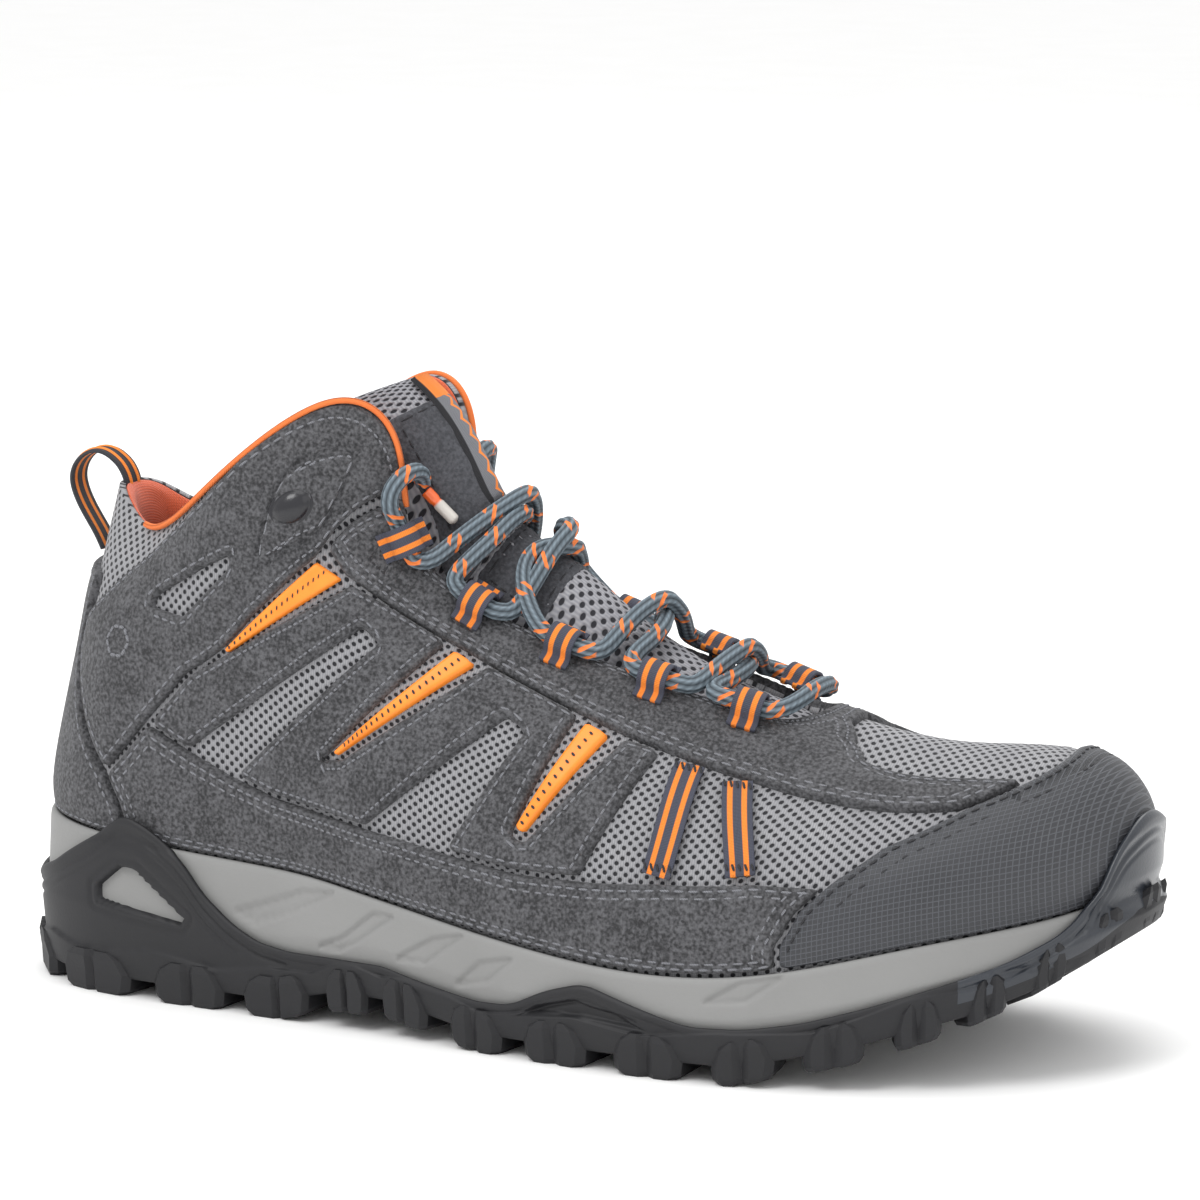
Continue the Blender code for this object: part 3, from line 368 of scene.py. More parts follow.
def paint_mesh(tree, thread="#a6a6a8", shade="#838387", hole="#1e1e22", pitch=2.0):
    """Knitted polyester spacer mesh: soft grey yarn round open holes set in a diamond grid.

    The holes lie 2 mm apart. Their dark colour is the foam behind them plus painted shade in the holes, so
    they read as dots.
    """
    where = cloth_place(tree)
    turned = add(tree, "VectorRotate", {"Vector": where, "Angle": math.radians(45)},
                 rotation_type="Z_AXIS")
    cell = add(tree, "TexVoronoi", {"Vector": turned, "Scale": 1 / pitch, "Randomness": 0.0},
               voronoi_dimensions="2D")
    hole_with_painted_shade = soft_step(tree, cell, 0.35, 0.24)
    ribs = add(tree, "TexWave", {"Vector": where, "Scale": 0.5, "Distortion": 1.5},
               bands_direction="X")
    patch = noise(tree, where, 9.0)
    yarn = mix(tree, calc(tree, "MULTIPLY", ribs, patch), srgb(shade), srgb(thread))
    # The holes take the hole colour: partly the dark foam behind, partly painted shade.
    colour = mix(tree, hole_with_painted_shade, yarn, srgb(hole))
    relief = calc(tree, "ADD", soft_step(tree, cell, 0.15, 0.5),
                  calc(tree, "MULTIPLY", ribs, 0.15))
    return colour, between(tree, hole_with_painted_shade, 0.8, 0.95), relief, 0.35


def paint_backing(tree):
    """Brushed nylon lining cloth, near black and quite matt: partly its own dark colour, partly painted
    shade, so that openings and punched holes look deep.
    """
    grain = noise(tree, place(tree), 0.8)
    colour = mix(tree, grain, srgb("#222225"), srgb("#3c3b3d"))
    return colour, between(tree, grain, 0.85, 1.0), grain, 0.1


spacer_mesh = finish("spacer_mesh", paint_mesh, Sheen_Weight=0.15)
# Near-black backing: partly the cloth's own colour, partly painted shade.
backing_and_painted_shade = finish("dark_backing_and_painted_shade", paint_backing)

SHELL_COLUMNS, SHELL_ROWS = 336, 84
SHELL_THICK = 1.6
shell_s = np.tile(np.arange(SHELL_COLUMNS) * ROUND / SHELL_COLUMNS, SHELL_ROWS)
shell_r = np.repeat(np.linspace(0.6, 5, SHELL_ROWS), SHELL_COLUMNS)
shell = piece("upper_mesh", skin(shell_s, shell_r), grid_faces(SHELL_ROWS, SHELL_COLUMNS),
              (spacer_mesh, backing_and_painted_shade), cloth_at(shell_s, shell_r), nodes=["upper_shell"],
              slot="spacer_mesh")
# The inner wall takes the near-black backing, partly painted shade inside the boot.
inner_wall = shell.modifiers.new("Inner wall", "SOLIDIFY")
inner_wall.thickness = SHELL_THICK * MM
inner_wall.offset = -1
inner_wall.material_offset = 1

# --- Suede panels -------------------------------------------------------------------------
# Charcoal split-suede overlays with cut, slightly rounded edges, sewn down with short grey
# stitches. The quarter's fingers and the foxing also carry fine punched holes.

TOP_EDGE = 4.98
MARGIN_EDGE = 1.08
OVERLAY_TOP = 2.05
EDGE_ROUND = 1.1
STITCH_PITCH = 2.9

BACKSTAY = [(0, 4.08), (0.6, 4.07), (1.2, 4.05), (1.12, 3.5), (1.1, 3.12), (1.3, 2.78),
            (1.6, 2.35), (1.93, 1.97), (2.1, 1.6), (2.2, MARGIN_EDGE), (0, MARGIN_EDGE)]
COLLAR_OVERLAY = [(1.22, 3.55), (1.6, 3.92), (1.95, 4.35), (2.35, 4.72), (2.7, 4.86),
                  (3.2, TOP_EDGE), (5.4, TOP_EDGE), (5.42, 4.8), (5.0, 4.08), (4.9, 4.0),
                  (3.84, 3.64), (2.85, 3.1), (2.42, 2.6), (1.95, 2.02), (1.62, 2.42),
                  (1.34, 2.82), (1.16, 3.14)]
COLLAR_WINDOW = [(2.39, 3.82), (2.43, 3.97), (3.05, 4.17), (3.38, 4.18), (3.42, 4.08),
                 (2.8, 3.68)]
QUARTER = [(2.46, 2.56), (2.86, 2.38), (5.97, 3.63), (6.18, 3.57), (3.4, 2.21), (3.85, 2.1),
           (5.42, 2.02), (7.38, 3.47), (7.5, 3.38), (6.5, 2.0), (7.12, 2.0), (7.7, 2.13),
           (8.6, 3.68), (8.33, 3.7), (7.28, 2.3), (7.16, 2.32), (7.96, 3.78), (7.27, 3.93),
           (5.2, 2.57), (4.8, 2.53), (6.9, 3.95), (5.76, 3.93), (3.6, 3.38), (2.9, 3.08)]
FOXING = [(2.42, 2.54), (2.9, 2.32), (3.3, 2.17), (3.85, 2.05), (5.45, 1.97), (6.5, 1.94),
          (7.12, 1.95), (7.74, 2.08), (8.34, 2.22), (9.04, 2.27), (9.48, 2.12), (9.25, 1.84),
          (9.08, 1.42), (9.08, MARGIN_EDGE), (2.24, MARGIN_EDGE), (2.14, 1.62), (1.98, 1.97)]
EYESTAY_OUTER = [(5.54, 4.77), (5.14, 4.1), (5.62, 3.98), (7.1, 4.0), (8.1, 3.79),
                 (8.8, 3.69), (9.3, 3.56), (9.8, 3.34), (10.62, 2.86), (11.2, 2.94),
                 (10.88, 3.31), (10.53, 3.65), (10.31, 3.95), (10.6, 4.4), (11.28, 4.72),
                 (12, 4.74)]
LOOP_STATIONS = [6.0, 7.05, 7.8, 8.55, 9.5]


def flat(points):
    return np.asarray(points, float) * np.array([STATION_MM, RING_MM])


def mirrored(outline):
    return [(ROUND - s, r) for s, r in outline]


def both_sides(outline):
    """One closed outline from a half that starts and ends on the middle line."""
    other = [(2 * outline[-1][0] - s, r) for s, r in outline[::-1]]
    return outline + [p for p in other if p not in (outline[-1],)]


def rounded(outline, radius=1.6):
    """The outline in flat millimetres, with its corners cut to small arcs."""
    loop = flat(outline)
    out = []
    for before, here, after in zip(np.roll(loop, 1, 0), loop, np.roll(loop, -1, 0)):
        back, ahead = before - here, after - here
        near, far = np.linalg.norm(back), np.linalg.norm(ahead)
        a = here + back / near * min(radius, near * 0.4)
        b = here + ahead / far * min(radius, far * 0.4)
        for t in (0, 0.25, 0.5, 0.75, 1):
            out.append((1 - t) ** 2 * a + 2 * t * (1 - t) * here + t * t * b)
    return np.array(out)


def straightened(outline, closed=True):
    """The outline with points added, so that its long edges are straight in a side view."""
    out = []
    ends = list(zip(outline, outline[1:] + outline[:1]))
    for first, last in ends if closed else ends[:-1]:
        count = max(1, int(np.linalg.norm(flat(first) - flat(last)) / 4))
        share = np.arange(count)[:, None] / count
        spots = np.array(first) * (1 - share) + np.array(last) * share
        corners = plain_skin([first[0], last[0]], [first[1], last[1]])[:, [0, 2]]
        wanted = corners[0] * (1 - share) + corners[1] * share
        for _ in range(4):
            s, r = spots.T
            here = plain_skin(s, r)[:, [0, 2]]
            across = (plain_skin(s + 0.01, r)[:, [0, 2]] - here) / 0.01
            upward = (plain_skin(s, r + 0.01)[:, [0, 2]] - here) / 0.01
            miss = wanted - here
            size = across[:, 0] * upward[:, 1] - across[:, 1] * upward[:, 0]
            spots[:, 0] += (miss[:, 0] * upward[:, 1] - miss[:, 1] * upward[:, 0]) / size
            spots[:, 1] += (miss[:, 1] * across[:, 0] - miss[:, 0] * across[:, 1]) / size
        out += [tuple(spot) for spot in spots]
    return out if closed else [*out, outline[-1]]


def resampled(loop, step, closed=True):
    """Points at even steps along a flat line."""
    line = np.vstack([loop, loop[:1]]) if closed else np.asarray(loop, float)
    run = np.concatenate([[0], np.cumsum(np.linalg.norm(np.diff(line, axis=0), axis=1))])
    count = max(3, int(round(run[-1] / step)))
    at = np.linspace(0, run[-1], count + (not closed), endpoint=not closed)
    return np.stack([np.interp(at, run, line[:, k]) for k in (0, 1)], 1)


def contains(loop, points):
    """Which of the points lie inside a closed flat loop."""
    ends = np.roll(loop, -1, axis=0)
    hit = np.zeros(len(points), bool)
    for (x0, y0), (x1, y1) in zip(loop, ends):
        if y0 != y1:
            crossing = (y0 > points[:, 1]) != (y1 > points[:, 1])
            hit ^= crossing & (points[:, 0] < x0 + (points[:, 1] - y0) * (x1 - x0) / (y1 - y0))
    return hit


def distance_to(loops, points):
    """How far each flat point lies from the nearest edge."""
    best = np.full(len(points), 1e9)
    for loop in loops:
        for a, b in zip(loop, np.roll(loop, -1, axis=0)):
            run = b - a
            t = np.clip((points - a) @ run / max(run @ run, 1e-9), 0, 1)
            best = np.minimum(best, np.linalg.norm(points - a - t[:, None] * run, axis=1))
    return best


def inset(loop, amount):
    """The loop moved inwards."""
    along = np.roll(loop, -1, axis=0) - np.roll(loop, 1, axis=0)
    along /= np.maximum(np.linalg.norm(along, axis=1), 1e-9)[:, None]
    area = np.sum(loop[:, 0] * np.roll(loop[:, 1], -1) - np.roll(loop[:, 0], -1) * loop[:, 1])
    inward = np.stack([-along[:, 1], along[:, 0]], 1) * np.sign(area)
    return loop + inward * amount


def on_boot(points, lift):
    return skin(points[:, 0] / STATION_MM, points[:, 1] / RING_MM, lift)


def cloth_flat(points):
    return cloth_at(points[:, 0] / STATION_MM, points[:, 1] / RING_MM)


def row_inside(loops, amount, pitch):
    """Points in a row at a distance inside the outline, with gaps where it turns too tightly."""
    spots = []
    for number, loop in enumerate(loops):
        fine = resampled(loop, 0.6)
        row = inset(fine, amount if number == 0 else -amount)
        near = distance_to(loops, row)
        run = 0.0
        for k in range(1, len(row)):
            run += np.linalg.norm(row[k] - row[k - 1])
            if run >= pitch and near[k] > amount * 0.93:
                turn = row[(k + 1) % len(row)] - row[k - 1]
                spots.append((row[k], turn / max(np.linalg.norm(turn), 1e-9)))
                run = 0.0
    return spots


def stitches(name, spots, lift, look, nodes, length=2.1, radius=0.3, body="boot"):
    """Short thread stitches lying along the given flat spots."""
    shape = [(-0.5, 0.15), (-0.36, 0.85), (0, 1), (0.36, 0.85), (0.5, 0.15)]
    points, faces = [], []
    for spot, turn in spots:
        middle = np.array([spot + turn * length * reach for reach, _ in shape])
        base = on_boot(middle, lift)
        up = on_boot(middle, lift + 1.0) - base
        side = np.cross(np.gradient(base, axis=0), up)
        side /= np.linalg.norm(side, axis=1)[:, None]
        start = len(points)
        for k, (_, thick) in enumerate(shape):
            for corner in range(5):
                a = 2 * math.pi * corner / 5
                points.append(base[k] + radius * thick * (side[k] * math.cos(a) * 1.15
                                                          + up[k] * (math.sin(a) * 0.8 + 0.1)))
        faces += grid_faces(len(shape), 5, True, start)
        faces += [tuple(range(start, start + 5))[::-1], tuple(range(start + 20, start + 25))]
    return piece(name, points, faces, look, nodes=nodes, slot="suede")


def panel(name, outline, looks, nodes, slot, holes=(), top=OVERLAY_TOP, puff=0.35, grooves=(),
          creases=(), raised=None, step=2.4, corner=1.6, edge=EDGE_ROUND):
    """A panel on the upper with a rounded edge, sunk a little along its stitch rows."""
    loops = [resampled(rounded(outline, corner), 1.3)]
    loops += [resampled(rounded(hole, corner), 1.3) for hole in holes]
    rows = []
    for number, loop in enumerate(loops):
        turned = 1 if number == 0 else -1
        for amount in (0.35, 0.8, 1.4, 2.2):
            row = inset(loop, amount * turned)
            kept = row[distance_to(loops, row) > amount * 0.93]
            rows.append(kept)
    low, high = loops[0].min(0), loops[0].max(0)
    xs = np.arange(low[0], high[0], step)
    ys = np.arange(low[1], high[1], step * 0.87)
    field = np.array([(x + (k % 2) * step / 2, y) for k, y in enumerate(ys) for x in xs])
    kept = contains(loops[0], field) & (distance_to(loops, field) > 3.0)
    rows.append(field[kept])
    seeds = np.vstack(rows)
    seeds = seeds[contains(loops[0], seeds)]
    for loop in loops[1:]:
        seeds = seeds[~contains(loop, seeds)]
    edges, start = [], 0
    for loop in loops:
        edges += [(start + i, start + (i + 1) % len(loop)) for i in range(len(loop))]
        start += len(loop)
    corners = np.vstack([*loops, seeds])
    found = delaunay_2d_cdt([Vector(p) for p in corners], edges, [], 0, 1e-5)
    corners = np.array([tuple(p) for p in found[0]])
    faces = np.array([tuple(face) for face in found[2] if len(face) == 3])
    middles = corners[faces].mean(axis=1)
    kept = contains(loops[0], middles)
    for loop in loops[1:]:
        kept &= ~contains(loop, middles)
    faces = faces[kept]
    used, faces = np.unique(faces, return_inverse=True)
    corners, faces = corners[used], faces.reshape(-1, 3)

    far = distance_to(loops, corners)
    bevel = np.clip(far / edge, 0, 1)
    height = 0.2 + (top - 0.2) * np.sqrt(1 - (1 - bevel) ** 2) ** 0.75
    height += puff * np.clip((far - 2) / 10, 0, 1) ** 0.7
    for amount, deep in grooves:
        height -= deep * np.exp(-(((far - amount) / 0.55) ** 2))
    for line, deep, wide in creases:
        off = distance_to([np.vstack([line, line[::-1]])], corners)
        height -= deep * np.exp(-((off / wide) ** 2))
    if raised is not None:
        height += 0.45 * contains(raised, corners) * np.clip(distance_to([raised], corners), 0, 1)
    points = on_boot(corners, height)

    count = len(points)
    rim = {}
    for face in faces:
        for a, b in zip(face, np.roll(face, -1)):
            rim[(a, b)] = rim.get((a, b), 0) + 1
    border = [(a, b) for a, b in rim if (b, a) not in rim]
    foot = on_boot(corners, -0.5)
    lower = {}
    extra = []
    for a, _ in border:
        lower[a] = count + len(extra)
        extra.append(foot[a])
    all_faces = [tuple(face) for face in faces]
    all_faces += [(b, a, lower[a], lower[b]) for a, b in border if b in lower]
    cloth = cloth_flat(corners)
    cloth = np.vstack([cloth, cloth[[a for a, _ in border]]])
    return piece(name, np.vstack([points, extra]), all_faces, looks, cloth, nodes=nodes,
                 slot=slot), loops


def paint_suede(tree, dark="#262628", light="#5c5c5f"):
    """Split cowhide with a brushed nap: matt charcoal, mottled where the nap lies differently.

    The nap is drawn 0.9 mm wide, coarser than real fibres, so that it shows.
    """
    where = place(tree)
    nap = noise(tree, where, 0.9, 6.0)
    brushed = noise(tree, where, 9.0, 4.0)
    shade = calc(tree, "ADD", calc(tree, "MULTIPLY", nap, 0.8),
                 calc(tree, "MULTIPLY", brushed, 0.2))
    colour = mix(tree, soft_step(tree, shade, 0.34, 0.68), srgb(dark), srgb(light))
    return colour, between(tree, nap, 0.85, 1.0), nap, 0.35


def paint_thread(tree, dark="#606166", light="#7f8085"):
    """Twisted polyester thread: a slight sheen, with the twist as slanting light and dark."""
    twist = add(tree, "TexWave", {"Vector": place(tree), "Scale": 0.9, "Distortion": 2.0},
                bands_direction="DIAGONAL")
    return mix(tree, twist, srgb(dark), srgb(light)), between(tree, twist, 0.6, 0.75), twist, 0.05


def paint_dark_thread(tree):
    return paint_thread(tree, "#18181b", "#2a2a2e")


suede = finish("suede", paint_suede, Sheen_Weight=0.1, Sheen_Roughness=0.5)
thread = finish("grey_thread", paint_thread)
dark_thread = finish("dark_thread", paint_dark_thread)


def punched(name, spots, lift, nodes, radius=0.42):
    """Small punched holes at flat spots, drawn as discs of the near-black backing, partly painted shade in
    the holes.
    """
    points, faces = [], []
    for spot, _ in spots:
        start = len(points)
        angles = np.arange(8) * math.pi / 4
        ring = spot + radius * np.stack([np.cos(angles), np.sin(angles)], 1)
        points += list(on_boot(ring, lift + 0.03)) + list(on_boot(spot[None], lift - 0.02))
        faces += [(start + k, start + (k + 1) % 8, start + 8) for k in range(8)]
    return piece(name, points, faces, backing_and_painted_shade, nodes=nodes, slot="suede",
                 faceted=True)


def line_spots(ends, pitch, offset=0.0):
    """Evenly spaced spots along a flat line through (station, ring) ends."""
    line = resampled(flat(ends), pitch, closed=False)
    turns = np.gradient(line, axis=0)
    turns /= np.linalg.norm(turns, axis=1)[:, None]
    across = np.stack([-turns[:, 1], turns[:, 0]], 1) * offset
    return list(zip(line + across, turns))


throat = both_sides([(5.6, TOP_EDGE), *EYESTAY_OUTER]) + [(STATIONS, TOP_EDGE)]
back_half = both_sides(BACKSTAY[::-1])[1:]

_, loops = panel("backstay", back_half, suede, ["backstay"], "suede", grooves=((2.2, 0.15),))
stitches("backstay_stitches", row_inside(loops, 2.2, STITCH_PITCH), 1.98, thread, ["backstay"])

_, loops = panel("eyestay", throat, suede, ["eyestay"], "suede",
                 grooves=((2.0, 0.2), (4.2, 0.15)), puff=0.3)
rows = row_inside(loops, 2.0, STITCH_PITCH) + row_inside(loops, 4.2, STITCH_PITCH)
stitches("eyestay_stitches", rows, 1.95, thread, ["eyestay"])
bars = []
for side in (1, -1):
    for station in LOOP_STATIONS:
        at = station if side > 0 else ROUND - station
        for across in (-3.6, 3.6):
            ends = [(at + across / STATION_MM, 4.52), (at + across / STATION_MM, 4.3)]
            bars += line_spots(ends, 2.4)
        for ring in (4.55, 4.28):
            bars += line_spots([(at - 0.12, ring), (at + 0.12, ring)], 2.4)
stitches("eyestay_bartacks", bars, 2.12, dark_thread, ["eyestay"])

FINGER_HOLES = [
    [(3.1, 2.62), (4.3, 3.12), (5.5, 3.62)], [(3.3, 2.9), (4.2, 3.3), (5.0, 3.62)],
    [(4.6, 2.42), (5.9, 3.15), (7.0, 3.8)], [(5.2, 2.3), (6.3, 2.98), (7.3, 3.72)],
    [(6.0, 2.3), (6.8, 2.85), (7.6, 3.65)], [(6.6, 2.2), (7.1, 2.5), (7.75, 3.45)],
    [(7.75, 2.4), (8.1, 2.95), (8.45, 3.6)],
]
FOXING_HOLES = [[(2.7, 2.0), (3.6, 1.75), (5.0, 1.65), (6.6, 1.62), (8.0, 1.75), (8.8, 1.85)],
                [(2.5, 1.5), (3.6, 1.4), (5.0, 1.35), (6.6, 1.33), (8.0, 1.4), (8.9, 1.5)]]

ANKLE_TAB = [(3.86, 3.98), (3.8, 4.62), (4.74, 4.8), (4.88, 4.2)]

for side in ("lateral", "medial"):
    turn = (lambda outline: outline) if side == "lateral" else mirrored
    node = f"collar_overlay_{side}"
    tab = resampled(rounded(turn(ANKLE_TAB), 4.0), 1.3)
    _, loops = panel(node, turn(COLLAR_OVERLAY), suede, [node], "suede",
                     holes=[turn(straightened(COLLAR_WINDOW))], grooves=((1.9, 0.15),), puff=0.6,
                     creases=((tab, 1.3, 0.6),), raised=tab, step=1.6)
    stitches(f"ankle_tab_stitches_{side}", row_inside([tab], 1.5, STITCH_PITCH), 2.75, thread, [node])
    stitches(f"collar_stitches_{side}", row_inside(loops, 1.9, STITCH_PITCH), 2.0, thread, [node])

    node = f"quarter_overlay_{side}"
    _, loops = panel(node, turn(straightened(QUARTER)), suede, [node], "suede",
                     grooves=((1.6, 0.15),))
    stitches(f"quarter_stitches_{side}", row_inside(loops, 1.6, STITCH_PITCH), 1.95, thread, [node])
    spots = [spot for line in FINGER_HOLES
             for spot in line_spots(turn(straightened(line, False)), 5.0)]
    body = np.array([spot for spot, _ in spots])
    kept = contains(loops[0], body) & (distance_to(loops, body) > 2.6)
    spots = [spot for spot, good in zip(spots, kept) if good]
    punched(f"quarter_holes_{side}", spots, 2.25, [node])

    node = f"foxing_{side}"
    _, loops = panel(node, turn(FOXING), suede, [node], "suede",
                     grooves=((1.8, 0.18), (3.9, 0.15)))
    rows = row_inside(loops, 1.8, STITCH_PITCH) + row_inside(loops, 3.9, STITCH_PITCH)
    stitches(f"foxing_stitches_{side}", rows, 1.95, thread, [node])
    spots = [spot for line in FOXING_HOLES for spot in line_spots(turn(line), 9.0)]
    punched(f"foxing_holes_{side}", spots, 2.4, [node])

# --- Toe cap ------------------------------------------------------------------------------
# A coated ripstop cap in dark grey with a fine raised grid. Its upper edge is folded and sewn
# with two rows.

TOE_CAP = [(9.12, MARGIN_EDGE), (9.12, 1.42), (9.29, 1.86), (9.54, 2.15), (10.01, 2.54),
           (10.66, 2.81), (11.29, 2.9), (12, 3.02)]


def paint_ripstop(tree):
    """Rubber-coated ripstop nylon: dark and satin, with a raised 1.2 mm grid."""
    where = cloth_place(tree)
    grid = []
    for axis in (0, 1):
        part = add(tree, "SeparateXYZ", {0: where}, out=axis)
        wave = calc(tree, "PINGPONG", part, 0.6)
        grid.append(soft_step(tree, wave, 0.2, 0.05))
    lines = calc(tree, "MAXIMUM", *grid)
    wear = noise(tree, where, 12.0)
    ground = mix(tree, wear, srgb("#2a2b2f"), srgb("#36373b"))
    colour = mix(tree, lines, ground, srgb("#4b4d52"))
    return colour, between(tree, wear, 0.45, 0.6), lines, 0.12


toe_fabric = finish("toe_fabric", paint_ripstop)
_, loops = panel("toe_cap", both_sides(TOE_CAP), toe_fabric, ["toe_cap"], "toe_fabric",
                 grooves=((2.0, 0.2), (5.6, 0.3)), puff=0.5)
rows = row_inside(loops, 2.0, STITCH_PITCH) + row_inside(loops, 5.6, STITCH_PITCH)
rows = [(spot, turn) for spot, turn in rows if spot[1] > 1.35 * RING_MM]
stitches("toe_cap_stitches", rows, 2.0, dark_thread, ["toe_cap"])

# --- Orange accents -----------------------------------------------------------------------
# Three slim welded strips of orange film a side, each with one row of small round holes.

ACCENTS = [[(4.97, 3.98), (5.58, 3.93), (3.42, 3.32), (3.36, 3.35)],
           [(6.98, 3.92), (7.16, 3.88), (5.14, 2.6), (5.04, 2.62)],
           [(8.02, 3.73), (8.2, 3.68), (7.3, 2.4), (7.22, 2.42)]]


def paint_film(tree):
    """Welded polyurethane film: clear bright orange with a soft, almost even shine."""
    wear = noise(tree, place(tree), 6.0)
    return (mix(tree, wear, srgb("#f7801c"), srgb("#ff9832")), between(tree, wear, 0.4, 0.55),
            noise(tree, place(tree), 0.4), 0.03)


orange_film = finish("orange_film", paint_film)
for side in ("lateral", "medial"):
    turn = (lambda outline: outline) if side == "lateral" else mirrored
    for number, outline in enumerate(ACCENTS, 1):
        node = f"accent_{side}_{number}"
        _, loops = panel(node, turn(straightened(outline)), orange_film, [node], "orange_film",
                         top=1.75, puff=0.1, corner=0.8, edge=0.7)
        first = tuple((np.array(outline[0]) + np.array(outline[1])) / 2)
        last = tuple((np.array(outline[2]) + np.array(outline[3])) / 2)
        spots = line_spots(turn(straightened([first, last], False)), 2.75)
        body = np.array([spot for spot, _ in spots])
        kept = contains(loops[0], body) & (distance_to(loops, body) > 0.75)
        punched(f"accent_holes_{side}_{number}", [s for s, good in zip(spots, kept) if good],
                1.86, [node])

# --- Midsole ------------------------------------------------------------------------------
# A light grey moulded foam sidewall with a soft lip under the upper and slanted grooves pressed
# into its side. It shows through the heel frame's window and runs up to the toe bumper.

GROUND_LINE = [(-10, 4), (0, 2), (10, 0), (86, 0), (104, 4.5), (120, 4.5), (146, 0), (214, 0),
               (230, 3.5), (244, 7), (256, 11), (267, 15), (277, 20), (287, 26.5), (300, 36)]
LUG_DEPTH = [(0, 4.6), (255, 4.6), (285, 3.0), (300, 3.0)]
PLATE_THICK = [(0, 3.0), (255, 3.0), (285, 2.2), (300, 2.2)]
WALL_TOP = [(0, 27), (0.7, 26), (1.3, 31), (1.9, 40), (2.25, 47), (2.5, 44), (2.8, 37),
            (3.0, 29.5), (3.3, 23), (3.6, 19), (4.0, 17.5), (5.6, 17.5), (6.3, 14.5),
            (6.8, 12.5), (7.1, 13), (7.4, 18), (7.7, 21), (8.1, 17), (8.5, 13.5), (8.9, 14),
            (9.3, 16.5), (9.7, 20.5), (10.6, 30.5), (11.05, 37), (11.3, 43), (11.55, 57),
            (11.8, 61), (12.0, 62)]
FRAME_WINDOW = [(1.97, 28), (2.2, 33.5), (2.34, 33.5), (2.83, 22.5), (2.8, 21), (1.98, 24.5)]
LIP_RISE = 0.3
MIDSOLE_GROOVES = [
    [(3.34, 26), (4.14, 33), (4.66, 34), (3.56, 24)],
    [(4.45, 20), (4.85, 23), (5.38, 30), (5.71, 30), (5.14, 23), (4.8, 20)],
    [(5.82, 20), (6.27, 26), (6.59, 28), (6.19, 20)],
    [(6.56, 16), (6.78, 22), (7.06, 24), (6.86, 18)],
    [(8.62, 20), (8.86, 25), (9.14, 27), (8.9, 21)],
]


def read_line(table, at):
    """A height, or any other value, along a table of (place, value)."""
    return np.interp(at, [row[0] for row in table], [row[1] for row in table])


def fold(stations):
    """Stations of either side, as lateral ones."""
    return np.where(stations > STATIONS, ROUND - stations, stations)


def plan_normals(stations):
    ones = np.ones_like(stations)
    along = skin(stations + 0.01, ones) - skin(stations - 0.01, ones)
    out = np.stack([along[:, 1], -along[:, 0], np.zeros(len(along))], 1)
    return out / np.linalg.norm(out, axis=1)[:, None]


def side_points(stations, flare, heights):
    """Points at a plan distance outside ring 1, at given heights."""
    flare = np.broadcast_to(np.asarray(flare, float), stations.shape)
    base = skin(stations, np.ones_like(stations)) + plan_normals(stations) * flare[:, None]
    base[:, 2] = heights
    return base


def sole_x(stations):
    return skin(stations, np.ones_like(stations))[:, 0]


def plate_bottom(stations):
    x = sole_x(stations)
    return read_line(GROUND_LINE, x) + read_line(LUG_DEPTH, x)


def plate_top(stations):
    return plate_bottom(stations) + read_line(PLATE_THICK, sole_x(stations))


def lip_heights(stations):
    return skin(stations, np.ones_like(stations))[:, 2] + LIP_RISE


def side_profile(stations):
    """The boot's side from the sole joint up over the midsole's lip and onto the upper."""
    low, lip = plate_top(stations), lip_heights(stations)
    ones = np.ones_like(stations)
    return [
        side_points(stations, 3.0, low),
        side_points(stations, 4.3, low * 0.55 + lip * 0.45),
        side_points(stations, 3.5, lip - 1.2),
        side_points(stations, 2.9, lip),
        skin(stations, ones * 1.35, 2.6),
        skin(stations, ones * 1.9, 2.7),
        skin(stations, ones * 2.4, 2.7),
    ]


def side_plan(profile, heights):
    """The side's plan position in each column, at one height a column."""
    out = np.zeros((len(heights), 3))
    stack = np.array(profile)
    for i, z in enumerate(heights):
        for axis in range(2):
            out[i, axis] = np.interp(z, stack[:, i, 2], stack[:, i, axis])
    out[:, 2] = heights
    return out


def depth_inside(shapes, stations, heights):
    """How far (station, height) spots lie inside the nearest of the shapes, in mm; 0 outside."""
    spots = np.stack([fold(stations) * STATION_MM, heights], 1)
    deep = np.zeros(len(spots))
    for shape in shapes:
        loop = np.array([(s * STATION_MM, z) for s, z in shape])
        hit = contains(loop, spots)
        if hit.any():
            deep[hit] = np.maximum(deep[hit], distance_to([loop], spots[hit]))
    return deep


def edge_of(shapes, stations, heights):
    """How far (station, height) spots lie from the nearest outline of the shapes, in mm."""
    spots = np.stack([fold(stations) * STATION_MM, heights], 1)
    return distance_to([np.array([(s * STATION_MM, z) for s, z in shape]) for shape in shapes],
                       spots)


def fine_stations(step, fine_spans, fine_step):
    """Station values round the boot, closer together in some spans of both sides."""
    at, out = 0.0, []
    while at < ROUND - step * 0.3:
        out.append(at)
        side = at if at <= STATIONS else ROUND - at
        at += fine_step if any(a <= side <= b for a, b in fine_spans) else step
    return np.array(out)


def paint_foam(tree):
    """Moulded EVA foam: light warm grey with a satin skin and the mould's fine grain."""
    where = place(tree)
    grain = noise(tree, where, 0.9, 4.0)
    shade = noise(tree, where, 35.0, 2.0)
    return (mix(tree, shade, srgb("#7b7b7a"), srgb("#8c8c8b")), between(tree, grain, 0.5, 0.68),
            grain, 0.05)


